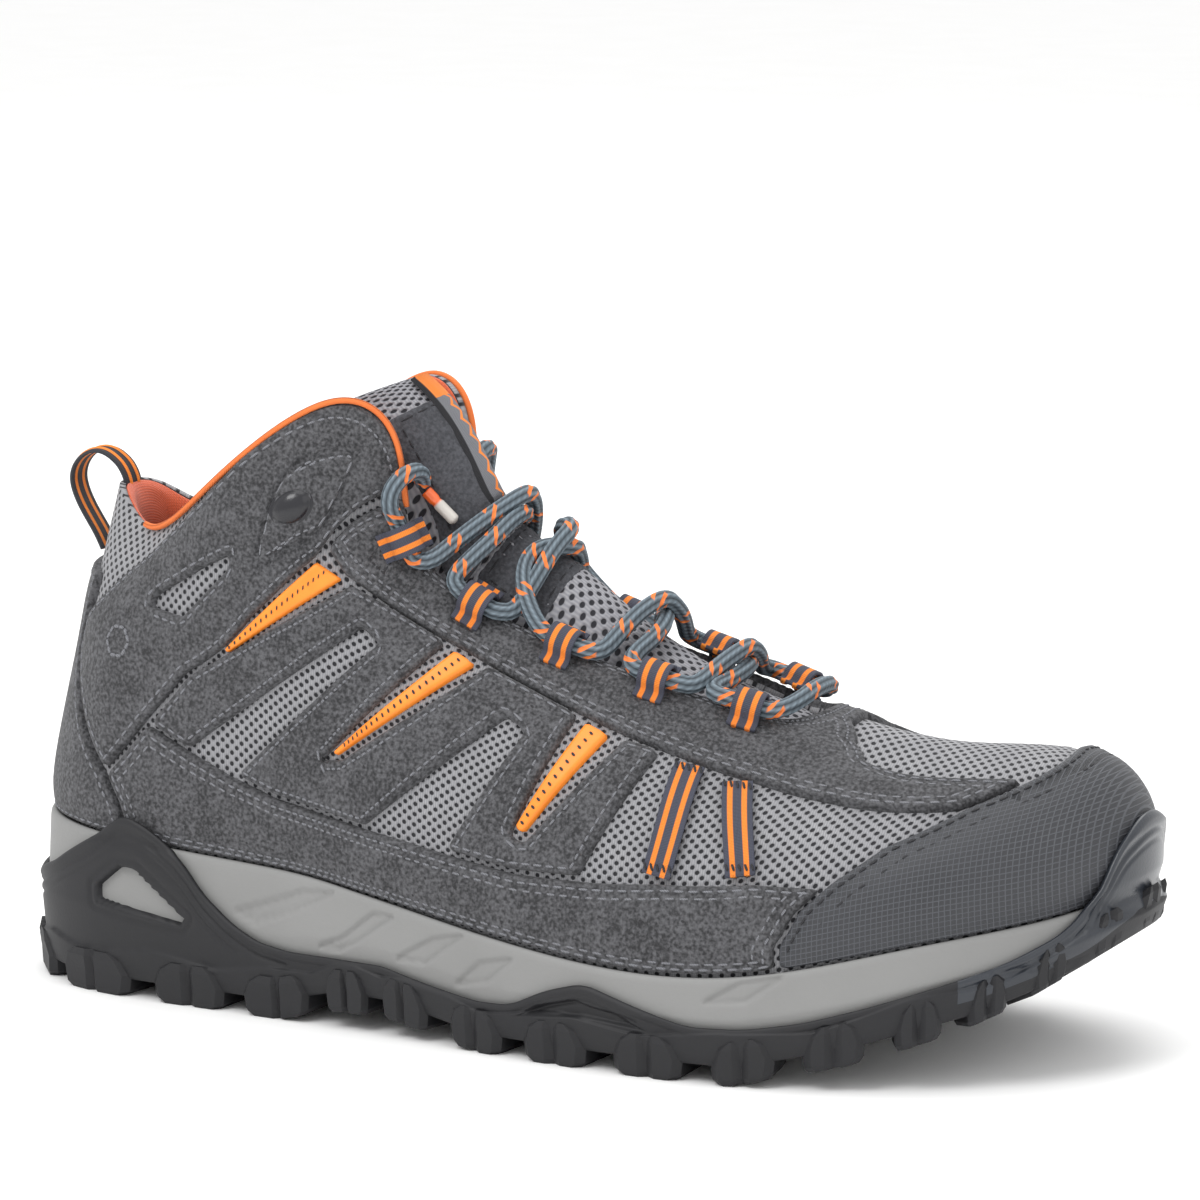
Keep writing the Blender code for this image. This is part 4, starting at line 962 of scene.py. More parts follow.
moulded_foam = finish("moulded_foam", paint_foam)
s = fine_stations(0.045, [(3.2, 7.2), (8.4, 9.3)], 0.022)
low, lip = plate_top(s), lip_heights(s)
profile = side_profile(s)[:4]
normals = plan_normals(s)
rings = [side_points(s, -9.0, low)]
for share in np.linspace(0, 1, 30):
    heights = low + (lip - 0.9 - low) * share
    ring = side_plan(profile, heights)
    deep = 0.5 * np.clip(depth_inside(MIDSOLE_GROOVES, s, heights) / 0.9, 0, 1)
    deep += 0.9 * np.exp(-((edge_of(MIDSOLE_GROOVES, s, heights) / 0.5) ** 2))
    ring -= normals * deep[:, None]
    rings.append(ring)
for angle in (30, 60, 90, 120, 150):
    a = math.radians(angle)
    rings.append(side_points(s, 2.3 + 0.95 * math.cos(a), lip - 0.9 + 0.9 * math.sin(a)))
rings += [skin(s, 1.0, 0.5), skin(s, 0.6, 0.5)]
piece("midsole", np.vstack(rings), grid_faces(len(rings), len(s)), moulded_foam,
      nodes=["midsole"], slot="moulded_eva")

# --- Outsole and toe bumper ---------------------------------------------------------------
# A black rubber cup: a low wall along the side, a triangular heel frame with an open window,
# a wave under the ball of the foot and a glossy bumper rising over the toe.

WALL_OUT = 2.8
LENS_RECESS = [(7.15, 10.8), (7.32, 14.5), (7.62, 17.2), (7.95, 15.2), (8.2, 11.4), (7.7, 12.8)]


def wall_heights(stations):
    """The wall's top edge, with its corners smoothed a little."""
    spread = np.linspace(-0.09, 0.09, 7)
    return np.mean([read_line(WALL_TOP, fold(np.mod(stations + d, ROUND))) for d in spread], 0)


def window_distance(stations, heights):
    """Distance in mm from the heel frame's window: positive inside it."""
    spots = np.stack([fold(stations) * STATION_MM, heights], 1)
    loop = np.array([(s * STATION_MM, z) for s, z in FRAME_WINDOW])
    far = distance_to([loop], spots)
    return np.where(contains(loop, spots), far, -far)


def paint_rubber(tree, dark="#0e0e11", light="#1b1b1f", low=0.5, high=0.7):
    """Moulded carbon rubber: black with a dull shine, paler where dust clings."""
    where = place(tree)
    dust = noise(tree, where, 18.0, 4.0)
    grain = noise(tree, where, 0.7, 3.0)
    return (mix(tree, dust, srgb(dark), srgb(light)), between(tree, dust, low, high), grain, 0.05)


def paint_gloss_rubber_painted_reflection(tree):
    """The same rubber out of a polished mould, with a clear highlight on the bumper; its paler blue-grey
    colour is a painted reflection.
    """
    return paint_rubber(tree, "#23262c", "#33373e", 0.22, 0.36)


black_rubber = finish("black_rubber", paint_rubber)
# The bumper's rubber is painted paler and bluer than the rest: a painted reflection.
toe_rubber = finish("toe_rubber", paint_gloss_rubber_painted_reflection)

s = fine_stations(0.05, [(1.75, 3.1), (6.9, 8.4)], 0.02)
low, bottom, top = plate_top(s) - 0.35, plate_bottom(s), wall_heights(s)
profile = side_profile(s)
normals = plan_normals(s)
lower, rows = profile[0][:, 2] + 0.2, 46
rings = [side_points(s, -10.0, bottom), side_points(s, 4.6, bottom),
         side_points(s, 5.3, bottom + 0.7)]
for share in np.linspace(0.04, 1, rows):
    heights = lower + (top - lower) * share
    under = top - heights
    outward = WALL_OUT - 0.9 * np.clip(1 - under / 1.6, 0, 1) ** 2
    outward -= 0.55 * np.exp(-(((under - 3.6) / 0.7) ** 2)) * (top - lower > 9)
    outward -= 0.4 * np.exp(-(((under - 6.4) / 0.6) ** 2)) * (top - lower > 14)
    step_line = bottom + 5.5 + 3.0 * np.abs(np.mod(fold(s) * 1.6, 2.0) - 1.0)
    outward -= 0.8 * np.clip((heights - step_line) / 0.5, 0, 1) * np.clip(under / 2, 0, 1)
    crease = np.exp(-(((heights - (30 + 1.5 * (fold(s) - 11))) / 0.8) ** 2)) * (fold(s) > 10.4)
    outward -= 0.6 * crease
    frame_edge = window_distance(s, heights)
    outward -= 0.5 * np.exp(-(((frame_edge + 2.2) / 0.6) ** 2))
    outward -= (WALL_OUT + 1.0) * np.clip((frame_edge + 0.3) / 0.8, 0, 1)
    outward -= 1.3 * np.clip(depth_inside([LENS_RECESS], s, heights) / 0.8, 0, 1)
    rings.append(side_plan(profile, heights) + normals * outward[:, None])
heights = top + 0.3
open_frame = (WALL_OUT + 1.0) * np.clip((window_distance(s, top) + 0.3) / 0.8, 0, 1)
rings.append(side_plan(profile, heights) + normals * (1.5 - open_frame)[:, None])
rings.append(side_plan(profile, top - 0.1) + normals * (0.6 - open_frame)[:, None])
rings.append(side_plan(profile, lower + 0.6 * (top - lower)) - normals * 0.6)
faces = grid_faces(len(rings), len(s))
cup = piece("outsole_cup", np.vstack(rings), faces, (black_rubber, toe_rubber),
            nodes=["outsole"], slot="black_rubber")
# The toe bumper's faces take the paler rubber, whose colour is a painted reflection.
glossy_painted_reflection = [int(fold(s)[face[0] % len(s)] > 10.3 and face[0] // len(s) > 8) for face in faces]
cup.data.polygons.foreach_set("material_index", glossy_painted_reflection)

plate = side_points(np.arange(96) * ROUND / 96, -8.0, plate_bottom(np.arange(96) * ROUND / 96))
half = len(plate) // 2
points, faces = [], []
for k in range(half + 1):
    a, b = plate[k], plate[(len(plate) - k) % len(plate)]
    points += [a + (b - a) * t for t in np.linspace(0, 1, 9)]
piece("outsole_plate", points, grid_faces(half + 1, 9, False), black_rubber, nodes=["outsole"],
      slot="black_rubber")

# --- Tread --------------------------------------------------------------------------------
# Chunky bevelled lugs round the edge, which run a little way up the wall, and six-sided lugs
# under the heel and the forefoot.

SIDE_LUGS = [(0.35, 1.25), (1.48, 2.3), (2.52, 3.22), (3.42, 4.3), (4.6, 5.35), (5.6, 6.25),
             (6.5, 7.02), (7.2, 7.72), (7.92, 8.46), (8.66, 9.12), (9.3, 9.72), (9.9, 10.22),
             (10.38, 10.66), (10.82, 11.1), (11.28, 11.62)]
CENTRE_LUGS = [(30, 0, 13, 20), (50, -9, 14, 13), (50, 9, 14, 13), (70, 0, 13, 16),
               (150, -12, 14, 15), (150, 8, 14, 15), (169, -22, 14, 14), (169, -2, 14, 14),
               (169, 18, 14, 14), (188, -12, 14, 15), (188, 8, 14, 15), (207, -22, 14, 14),
               (207, -2, 14, 14), (207, 18, 14, 14), (226, -10, 14, 15), (226, 12, 14, 15),
               (245, 0, 13, 14), (245, 20, 12, 12), (262, 8, 11, 14)]


def tread_heights(ring, level):
    ground = read_line(GROUND_LINE, ring[:, 0])
    return ground + (read_line(LUG_DEPTH, ring[:, 0]) + 0.9) * level


def side_lug(start, end):
    """Rings of one edge lug, from the ground to a taper up the wall."""
    span = end - start
    rings = []
    for level, shrink, outer, rise in ((0, 0.1, 5.6, 0.0), (0.25, 0.03, 6.25, 0.0),
                                       (1, 0.0, 6.5, 0.0), (1, 0.08, 7.0, 3.6),
                                       (1, 0.2, 6.6, 5.4)):
        cut = min(span * 0.14, 0.06)
        a, b = start + span * shrink, end - span * shrink
        inner = -10.0 if not rise else 1.0
        mid = (a + b) / 2
        corners = [(a, outer - 1.8), (a + cut, outer), (mid - cut, outer), (mid, outer - 1.3),
                   (mid + cut, outer), (b - cut, outer), (b, outer - 1.8), (b, inner),
                   (mid, inner - (rise == 0)), (a, inner)]
        at = np.array([c[0] for c in corners])
        ring = side_points(at, np.array([c[1] for c in corners]), 0.0)
        ring[:, 2] = tread_heights(ring, level) + rise
        rings.append(ring)
    return rings


def centre_lug(x, y, length, width):
    """Rings of one six-sided lug, from the ground up to the plate."""
    outline = [(-0.5, 0), (-0.3, -0.5), (0.3, -0.5), (0.5, 0), (0.3, 0.5), (-0.3, 0.5)]
    rings = []
    for scale, level in ((0.8, 0.0), (0.9, 0.12), (1.0, 1.0)):
        ring = np.array([(x + a * length * scale, y + b * width * scale, 0) for a, b in outline])
        ring[:, 2] = tread_heights(ring, level)
        rings.append(ring)
    return rings


blocks = []
for start, end in SIDE_LUGS:
    blocks += [side_lug(start, end), side_lug(ROUND - end, ROUND - start)]
blocks += [side_lug(11.8, 12.2), side_lug(-0.12, 0.12)]
blocks += [centre_lug(*spot) for spot in CENTRE_LUGS]
points, faces = [], []
for rings in blocks:
    start, count = len(points), len(rings[0])
    points += [p for ring in rings for p in ring]
    faces += grid_faces(len(rings), count, True, start)
    faces += [tuple(range(start, start + count))[::-1],
              tuple(range(start + (len(rings) - 1) * count, start + len(rings) * count))]
lugs = piece("tread_lugs", points, faces, black_rubber, nodes=["outsole"], slot="black_rubber",
             faceted=True)
work = bmesh.new()
work.from_mesh(lugs.data)
bmesh.ops.recalc_face_normals(work, faces=work.faces)
work.to_mesh(lugs.data)
work.free()
rounding = lugs.modifiers.new("Bevel", "BEVEL")
rounding.width = 0.5 * MM
rounding.segments = 2
rounding.limit_method = "ANGLE"

# --- Collar lining ------------------------------------------------------------------------
# A padded orange textile lining round the ankle opening, plumped by a light cloth simulation,
# with an orange piping cord along the rim and down the front edge.

LINING_SECTION = [(2.95, 1.9), (3.6, 1.9), (4.3, 1.9), (4.8, 1.9), (4.98, 1.9), (5.0, 2.6),
                  (4.95, 4.2), (4.8, 5.9), (4.5, 7.2), (4.0, 6.7), (3.5, 5.0), (3.0, 3.2)]
LINING_END = 5.35
PIPING_START, PIPING_END = 1.75, 5.7
PIPING_RADIUS = 0.8


def plumped(obj, pressure=4.0, cap=0.9, held=None):
    """Inflates a padded piece as cloth, holding some points, and limits how far it moves."""
    rest = np.empty(len(obj.data.vertices) * 3)
    obj.data.vertices.foreach_get("co", rest)
    rest = rest.reshape(-1, 3)
    pins = obj.vertex_groups.new(name="held")
    pins.add([int(i) for i in held], 1.0, "ADD")
    cloth = obj.modifiers.new("Cloth", "CLOTH")
    settings = cloth.settings
    settings.quality = 4
    settings.mass = 0.2
    settings.tension_stiffness = 6
    settings.compression_stiffness = 6
    settings.bending_stiffness = 0.4
    settings.use_pressure = True
    settings.uniform_pressure_force = pressure
    settings.vertex_group_mass = "held"
    settings.effector_weights.gravity = 0
    cloth.point_cache.frame_end = 20
    for moment in range(1, 21):
        bpy.context.scene.frame_set(moment)
    graph = bpy.context.evaluated_depsgraph_get()
    moved = obj.evaluated_get(graph).to_mesh()
    found = np.empty(len(moved.vertices) * 3)
    moved.vertices.foreach_get("co", found)
    obj.modifiers.remove(cloth)
    shift = found.reshape(-1, 3) - rest
    far = np.linalg.norm(shift, axis=1)[:, None]
    shift *= np.minimum(1, cap * MM / np.maximum(far, 1e-12))
    obj.data.vertices.foreach_set("co", (rest + shift).ravel())
    bpy.context.scene.frame_set(1)


def paint_lining(tree, dark="#c04f2c", light="#e3693d"):
    """Knitted polyester lining: matt orange, with a soft light along its edges.

    The loops of the knit lie about 0.75 mm apart.
    """
    where = cloth_place(tree)
    knit = [add(tree, "TexWave", {"Vector": where, "Scale": 0.42}, bands_direction=axis)
            for axis in ("X", "Y")]
    weave = calc(tree, "MULTIPLY", *knit)
    wear = noise(tree, where, 11.0)
    shade = calc(tree, "ADD", calc(tree, "MULTIPLY", weave, 0.4),
                 calc(tree, "MULTIPLY", wear, 0.6))
    return mix(tree, shade, srgb(dark), srgb(light)), between(tree, weave, 0.8, 0.95), weave, 0.15


lining_fabric = finish("lining_fabric", paint_lining, Sheen_Weight=0.3)
closed = np.array(LINING_SECTION)
steps = np.arange(44) * len(closed) / 44
section = spline_weights(steps, len(closed), closed=True) @ closed
stations = np.linspace(-LINING_END, LINING_END, 200)
points, cloth = [], []
for at in stations:
    fade = np.clip((LINING_END - abs(at)) / 1.4, 0, 1)
    deep = 1.9 + (section[:, 1] - 1.9) * (0.25 + 0.75 * fade)
    ring = skin(np.full(len(section), at), section[:, 0], -deep)
    points.append(ring)
    run = np.cumsum(np.linalg.norm(np.diff(ring, axis=0, prepend=ring[:1]), axis=1))
    around = cloth_at([at], [4.0])[0, 0]
    cloth.append(np.stack([np.full(len(run), around), run, np.zeros(len(run))], 1))
faces = grid_faces(len(stations), len(section))
held = [k * len(section) + i for k in range(len(stations)) for i in range(len(section))
        if (i < 17 or i > 41 or k in (0, len(stations) - 1))]
lining = piece("collar_lining", np.vstack(points), faces, lining_fabric, np.vstack(cloth),
               nodes=["collar_lining"], slot="lining_fabric")
plumped(lining, held=held)


def tube(name, path, radii, look, sides=12, cloth_pitch=None, **where):
    """A round cord along a path in table millimetres, with turn-free rings."""
    path = np.asarray(path, float)
    along = np.gradient(path, axis=0)
    along /= np.linalg.norm(along, axis=1)[:, None]
    side = np.cross(along[0], [0.3, 0.2, 1.0])
    points, cloth, run = [], [], 0.0
    for k, (spot, ahead) in enumerate(zip(path, along)):
        side = side - ahead * (side @ ahead)
        side /= np.linalg.norm(side)
        other = np.cross(ahead, side)
        run += np.linalg.norm(path[k] - path[k - 1]) if k else 0.0
        angles = 2 * math.pi * np.arange(sides) / sides
        radius = np.broadcast_to(radii[k] if np.ndim(radii) else radii, (sides,))
        points.append(spot + radius[:, None] * (np.cos(angles)[:, None] * side
                                                + np.sin(angles)[:, None] * other))
        cloth.append(np.stack([np.full(sides, run), angles, np.zeros(sides)], 1))
    faces = grid_faces(len(path), sides)
    last = (len(path) - 1) * sides
    faces += [tuple(range(sides))[::-1], tuple(range(last, last + sides))]
    return piece(name, np.vstack(points), faces, look, np.vstack(cloth), **where)


def paint_piping(tree):
    """Twill tape over a cord: orange, a little smoother than the lining, with a slanted weave."""
    where = cloth_place(tree)
    twill = add(tree, "TexWave", {"Vector": where, "Scale": 0.9}, bands_direction="DIAGONAL")
    wear = noise(tree, where, 8.0)
    return (mix(tree, wear, srgb("#dd6a2c"), srgb("#ee8140")), between(tree, twill, 0.7, 0.85),
            twill, 0.08)


piping = finish("piping", paint_piping)
for name, start, end in (("lateral", PIPING_START, PIPING_END),
                         ("medial", ROUND - PIPING_END, ROUND - PIPING_START)):
    at = np.linspace(start, end, 240)
    lift = 0.7 + 0.3 * np.sin(np.clip((fold(at) - PIPING_START) / 0.5, 0, 1) * math.pi / 2)
    tube(f"piping_{name}", skin(at, 5.0, lift), PIPING_RADIUS, piping,
         nodes=["collar_lining"], slot="lining_fabric")

# --- Tongue -------------------------------------------------------------------------------
# A padded mesh tongue folded out at the instep. A smooth dark facing with a stitched border
# covers its middle, and a narrow woven label with a plain zigzag lies down the centre.

TONGUE = [((225, 74.5), (222, 12, 69)), ((209, 81.5), (207, 15, 71)),
          ((193, 87), (190, 17, 74)), ((178, 93.8), (173, 18, 78.5)),
          ((163, 102.5), (158, 18.5, 83)), ((150, 111.5), (142, 19, 87.7)),
          ((138, 118), (127, 18.5, 94.2)), ((128.5, 126), (115, 15.6, 105)),
          ((121.5, 138), (108, 14.3, 121.5)), ((114.5, 149), (99.5, 15, 138)),
          ((107.5, 155.5), (94.5, 15.5, 149.5)), ((102.8, 158.2), (92, 15, 154.5))]
TONGUE_CURVE = 2.0
TONGUE_SPLIT = 6.5
TONGUE_HALF = 15.5
TONGUE_STEP = 12.5
FACING_START, FACING_END, FACING_REACH = TONGUE_SPLIT + 0.1, 9.5, 0.86
APRON_START, APRON_END, APRON_REACH = 5.0, TONGUE_SPLIT + 0.02, 0.8
LABEL_START, LABEL_END, LABEL_REACH = 7.2, 10.5, 0.3


def tongue_at(places, reach, rise):
    """Points on the tongue: place along it, reach across it from -1 to 1, and height over it."""
    crown = np.array([[c[0], 0, c[1]] for c, _ in TONGUE], float)
    edge = np.array([[e[0], e[1], e[2]] for _, e in TONGUE], float)
    weights = spline_weights(places, len(TONGUE))
    ahead = spline_weights(np.asarray(places) + 0.02, len(TONGUE))
    c, e = weights @ crown, weights @ edge
    run = ahead @ crown - c
    run /= np.linalg.norm(run, axis=1)[:, None]
    out = np.stack([run[:, 2], 0 * run[:, 0], -run[:, 0]], 1)
    out *= np.where(out[:, 0] + out[:, 2] < 0, -1, 1)[:, None]
    share = np.abs(reach)[:, None] ** TONGUE_CURVE
    points = c + (e - c) * share * np.array([1, 0, 1])
    points[:, 1] = e[:, 1] * reach
    return points + out * np.asarray(rise, float)[:, None]


def tongue_body(name, places, looks, body, nodes, slot, soft_end):
    """A padded length of the tongue, closed all round."""
    sides = 46
    angles = 2 * math.pi * np.arange(sides) / sides
    points, cloth = [], []
    for number, at in enumerate(places):
        left = (len(places) - 1 - number) if soft_end else 99
        plump = math.sqrt(1 - max(0, 1 - (left + 0.25) / 5) ** 2)
        reach = -np.cos(angles) * (0.93 + 0.07 * plump)
        rise = -2.6 + 2.6 * np.sign(np.sin(angles)) * np.abs(np.sin(angles)) ** 0.5 * plump
        ring = tongue_at(np.full(sides, at), reach, rise)
        points.append(ring)
        cloth.append(np.stack([reach * 16, np.full(sides, at * TONGUE_STEP),
                               np.sign(rise + 2.6)], 1))
    faces = grid_faces(len(places), sides)
    last = (len(places) - 1) * sides
    faces += [tuple(range(sides))[::-1], tuple(range(last, last + sides))]
    held = list(range(sides * 2))
    obj = piece(name, np.vstack(points), faces, looks, np.vstack(cloth), body=body, nodes=nodes,
                slot=slot)
    plumped(obj, 3.0, 0.7, held)
    return obj


def paint_open_mesh(tree):
    """The same knitted mesh, a touch finer, with paler painted holes: the padding behind them plus painted
    shade in them.
    """
    return paint_mesh(tree, "#a4a4a7", "#84848a", "#26262b", 1.9)


open_mesh = finish("open_mesh", paint_open_mesh)
tongue_body("tongue_lower", np.linspace(0, TONGUE_SPLIT + 0.05, 62), open_mesh, "boot",
            ["tongue_lower"], "spacer_mesh", False)
tongue_body("tongue_top", np.linspace(TONGUE_SPLIT + 0.02, len(TONGUE) - 1, 50), open_mesh,
            "upper_tongue", ["tongue_top"], "spacer_mesh", True)


def tongue_strip(name, start, end, reach, rise, thick, look, body, nodes, slot, across=26,
                 wrinkle=0.0):
    """A sewn-on strip following the tongue, with rounded edges."""
    rows = max(8, int((end - start) * 16))
    places = np.linspace(start, end, rows)
    points, cloth = [], []
    for at in places:
        u = np.linspace(-1, 1, across)
        from_end = min(at - start, end - at) * TONGUE_STEP
        width = reach * (1 - 0.12 * max(0, 1 - from_end / 3) ** 2)
        edge_mm = np.minimum((1 - np.abs(u)) * reach * TONGUE_HALF, from_end)
        height = rise + thick * np.sqrt(1 - (1 - np.clip(edge_mm / 0.9, 0, 1)) ** 2)
        height -= 0.22 * np.exp(-(((edge_mm - 2.0) / 0.5) ** 2))
        height += wrinkle * np.sin(at * 9 + 2 * np.sin(u * 3)) * np.clip(edge_mm / 4, 0, 1)
        points.append(tongue_at(np.full(across, at), u * width, height))
        cloth.append(np.stack([u * reach * TONGUE_HALF, np.full(across, at * TONGUE_STEP),
                               np.zeros(across)], 1))
    return piece(name, np.vstack(points), grid_faces(rows, across, False), look,
                 np.vstack(cloth), body=body, nodes=nodes, slot=slot)


def strip_stitches(name, start, end, reach, rise, look, body, nodes, edge=2.0):
    """Stitches round a tongue strip, a little inside its edge."""
    wide = reach - edge / TONGUE_HALF
    a, b = start + edge / TONGUE_STEP, end - edge / TONGUE_STEP
    corners = [(-wide, a), (-wide, b), (wide, b), (wide, a)]
    points, faces = [], []
    for (u0, p0), (u1, p1) in zip(corners, corners[1:] + corners[:1]):
        length = math.hypot((u1 - u0) * TONGUE_HALF, (p1 - p0) * TONGUE_STEP)
        for k in range(int(length / 2.8)):
            spots = [(k + t) * 2.8 / length for t in (0.1, 0.3, 0.5, 0.7, 0.85)]
            u = np.array([u0 + (u1 - u0) * t for t in spots])
            p = np.array([p0 + (p1 - p0) * t for t in spots])
            base = tongue_at(p, u, np.full(5, rise))
            up = tongue_at(p, u, np.full(5, rise + 1.0)) - base
            side = np.cross(np.gradient(base, axis=0), up)
            side /= np.linalg.norm(side, axis=1)[:, None]
            first = len(points)
            for j, thick in enumerate((0.15, 0.85, 1, 0.85, 0.15)):
                for corner in range(5):
                    angle = 2 * math.pi * corner / 5
                    points.append(base[j] + 0.28 * thick * (side[j] * math.cos(angle)
                                                            + up[j] * math.sin(angle)))
            faces += grid_faces(5, 5, True, first)
    return piece(name, points, faces, look, body=body, nodes=nodes, slot="suede")


def paint_facing(tree):
    """Fine sanded microfibre suede: a more even and slightly paler grey than the overlays."""
    return paint_suede(tree, "#37383c", "#505156")


def paint_label(tree):
    """Jacquard woven polyester label: an orange zigzag and end on grey, with dark selvedges."""
    where = cloth_place(tree)
    across = add(tree, "SeparateXYZ", {0: where}, out=0)
    along = add(tree, "SeparateXYZ", {0: where}, out=1)
    zig = calc(tree, "PINGPONG", along, 2.2)
    line = calc(tree, "ABSOLUTE", calc(tree, "SUBTRACT", calc(tree, "SUBTRACT", zig, 1.1), across))
    pattern = soft_step(tree, line, 0.75, 0.5)
    end = calc(tree, "GREATER_THAN", along, 118.0)
    edge = soft_step(tree, calc(tree, "ABSOLUTE", across), 3.6, 3.9)
    weave = add(tree, "TexWave", {"Vector": where, "Scale": 1.1}, bands_direction="Y")
    grey = mix(tree, weave, srgb("#5b5c61"), srgb("#8c8d92"))
    colour = mix(tree, calc(tree, "MAXIMUM", pattern, end), grey, srgb("#f98a32"))
    return mix(tree, edge, colour, srgb("#1f1f23")), between(tree, weave, 0.7, 0.85), weave, 0.12


facing_suede = finish("facing_suede", paint_facing)
label_weave = finish("label_weave", paint_label)
tongue_strip("tongue_facing", FACING_START, FACING_END, FACING_REACH, 0.1, 0.9, facing_suede,
             "upper_tongue", ["tongue_facing"], "suede", wrinkle=0.15)
strip_stitches("tongue_facing_stitches", FACING_START, FACING_END, FACING_REACH, 0.95,
               dark_thread, "upper_tongue", ["tongue_facing"])
tongue_strip("tongue_apron", APRON_START, APRON_END, APRON_REACH, 0.1, 0.8, facing_suede, "boot",
             ["tongue_lower"], "suede", wrinkle=0.3)
strip_stitches("tongue_apron_stitches", APRON_START, APRON_END, APRON_REACH, 0.8, dark_thread,
               "boot", ["tongue_lower"])
tongue_strip("tongue_label", LABEL_START, LABEL_END, LABEL_REACH, 1.0, 0.75, label_weave,
             "upper_tongue", ["tongue_label"], "webbing", across=17)

# --- Webbing ------------------------------------------------------------------------------
# Navy tape with two raised orange ribs: arches over the lace, the two vamp straps a side, and
# the pull loop at the heel.

LOOP_RING = 4.85
LACE_LIFT = 5.1
STRAPS = [((8.83, 3.6), (8.34, 2.3)), ((9.17, 3.5), (8.97, 2.36))]


def paint_webbing(tree, navy="#3b3d4a", pale="#565968", tape="#ff9333", ribs=1.75):
    """Woven nylon tape: matt navy with a pebbled weave, and two brighter orange ribs."""
    where = cloth_place(tree)
    across = calc(tree, "ABSOLUTE", add(tree, "SeparateXYZ", {0: where}, out=1))
    rib = soft_step(tree, calc(tree, "ABSOLUTE", calc(tree, "SUBTRACT", across, ribs)), 0.75, 0.6)
    weave = add(tree, "TexWave", {"Vector": where, "Scale": 0.8}, bands_direction="X")
    cross = add(tree, "TexWave", {"Vector": where, "Scale": 0.9}, bands_direction="Y")
    grain = calc(tree, "MULTIPLY", weave, cross)
    base = mix(tree, grain, srgb(navy), srgb(pale))
    orange = mix(tree, weave, srgb("#e57a25"), srgb(tape))
    return mix(tree, rib, base, orange), between(tree, grain, 0.75, 0.9), grain, 0.15


webbing = finish("webbing", paint_webbing)


def tape(name, centre, side, width=7.5, thick=1.0, ribs=1.75, **where):
    """A flat tape along a path, with two raised ribs on its outer face."""
    centre, side = np.asarray(centre, float), np.asarray(side, float)
    along = np.gradient(centre, axis=0)
    along /= np.linalg.norm(along, axis=1)[:, None]
    side = side - along * np.sum(side * along, axis=1)[:, None]
    side /= np.linalg.norm(side, axis=1)[:, None]
    out = np.cross(side, along)
    run = np.cumsum(np.linalg.norm(np.diff(centre, axis=0, prepend=centre[:1]), axis=1))
    u = np.linspace(-1, 1, 31) * width / 2
    rib = 0.45 * np.sqrt(np.clip(1 - ((np.abs(u) - ribs) / 0.7) ** 2, 0, 1))
    upper = np.sqrt(np.clip(1 - np.clip((np.abs(u) - width / 2 + 0.5) / 0.5, 0, 1) ** 2, 0, 1))
    section = list(zip(u, thick / 2 * upper + rib)) + [(a, -thick / 2) for a in u[::-1]]
    points, cloth = [], []
    for k in range(len(centre)):
        for across, height in section:
            points.append(centre[k] + side[k] * across + out[k] * height)
            cloth.append((run[k], across, 0))
    count = len(section)
    faces = grid_faces(len(centre), count)
    last = (len(centre) - 1) * count
    faces += [tuple(range(count))[::-1], tuple(range(last, last + count))]
    look = where.pop("look", webbing)
    return piece(name, points, faces, look, cloth, **where)


def loop_frame(station):
    """Where a lace loop sits: the middle, and its directions up the panel, out and along."""
    here = skin([station], [LOOP_RING])[0]
    out = skin_normals(np.array([station]), np.array([LOOP_RING]))[0]
    along = (skin([station + 0.02], [LOOP_RING]) - skin([station - 0.02], [LOOP_RING]))[0]
    along /= np.linalg.norm(along)
    return here, np.cross(out, along), out, along


arch = [(-6.3, 2.75), (-5.4, 2.85), (-4.4, 3.1), (-3.7, 3.7)]
arch += [(3.45 * math.cos(a), LACE_LIFT + 3.3 * math.sin(a))
         for a in np.linspace(math.radians(185), math.radians(-5), 15)]
arch += [(3.7, 3.7), (4.4, 3.1), (5.4, 2.85), (6.3, 2.75)]
arch_line = np.array(arch)
run = np.concatenate([[0], np.cumsum(np.linalg.norm(np.diff(arch_line, axis=0), axis=1))])
arch_at = np.linspace(0, run[-1], 56)
arch_line = np.stack([np.interp(arch_at, run, arch_line[:, k]) for k in (0, 1)], 1)

for side in ("lateral", "medial"):
    for number, station in enumerate(LOOP_STATIONS, 1):
        station = station if side == "lateral" else ROUND - station
        here, up, out, along = loop_frame(station)
        centre = here + arch_line[:, :1] * up + arch_line[:, 1:] * out
        name = f"lace_loop_{side}_{number}"
        tape(name, centre, np.tile(-along, (len(centre), 1)), nodes=[name], slot="webbing")
    for number, (high, foot) in enumerate(STRAPS, 1):
        ends = [high, foot] if side == "lateral" else mirrored([high, foot])
        line = resampled(flat(ends), 1.2, closed=False)
        centre = on_boot(line, 1.5)
        across = np.cross(np.gradient(centre, axis=0),
                          skin_normals(line[:, 0] / STATION_MM, line[:, 1] / RING_MM))
        name = f"vamp_strap_{side}_{number}"
        tape(name, centre, -across, nodes=[name], slot="webbing")
        tacks = []
        for t in (0.06, 0.94):
            middle = line[int(t * (len(line) - 1))]
            for offset in np.linspace(-2.6, 2.6, 5):
                tacks.append((middle + np.array([offset, 0.0]), np.array([0.0, 1.0])))
        stitches(f"strap_bartacks_{side}_{number}", tacks, 2.1, dark_thread, [name])

# --- Pull loop ----------------------------------------------------------------------------
# A thin dark tape folded into a loop behind the heel, with two narrow orange lines.

PULL_LOOP = [(15.3, 108.0), (13, 112.4), (9.7, 117.5), (7.2, 122.5), (6.6, 127), (8.6, 131),
             (12.2, 133.2), (16, 133.2), (19.2, 131.4), (21.2, 129.2)]
PULL_TUCK = [(22.6, 126.0), (22.8, 122.5)]
PULL_WIDTH, PULL_THICK, PULL_RIBS = 8.0, 0.9, 1.9


def paint_pull(tree):
    """The same nylon tape in near black, with its orange lines a little further apart."""
    return paint_webbing(tree, "#27282d", "#404147", "#ff9333", PULL_RIBS)


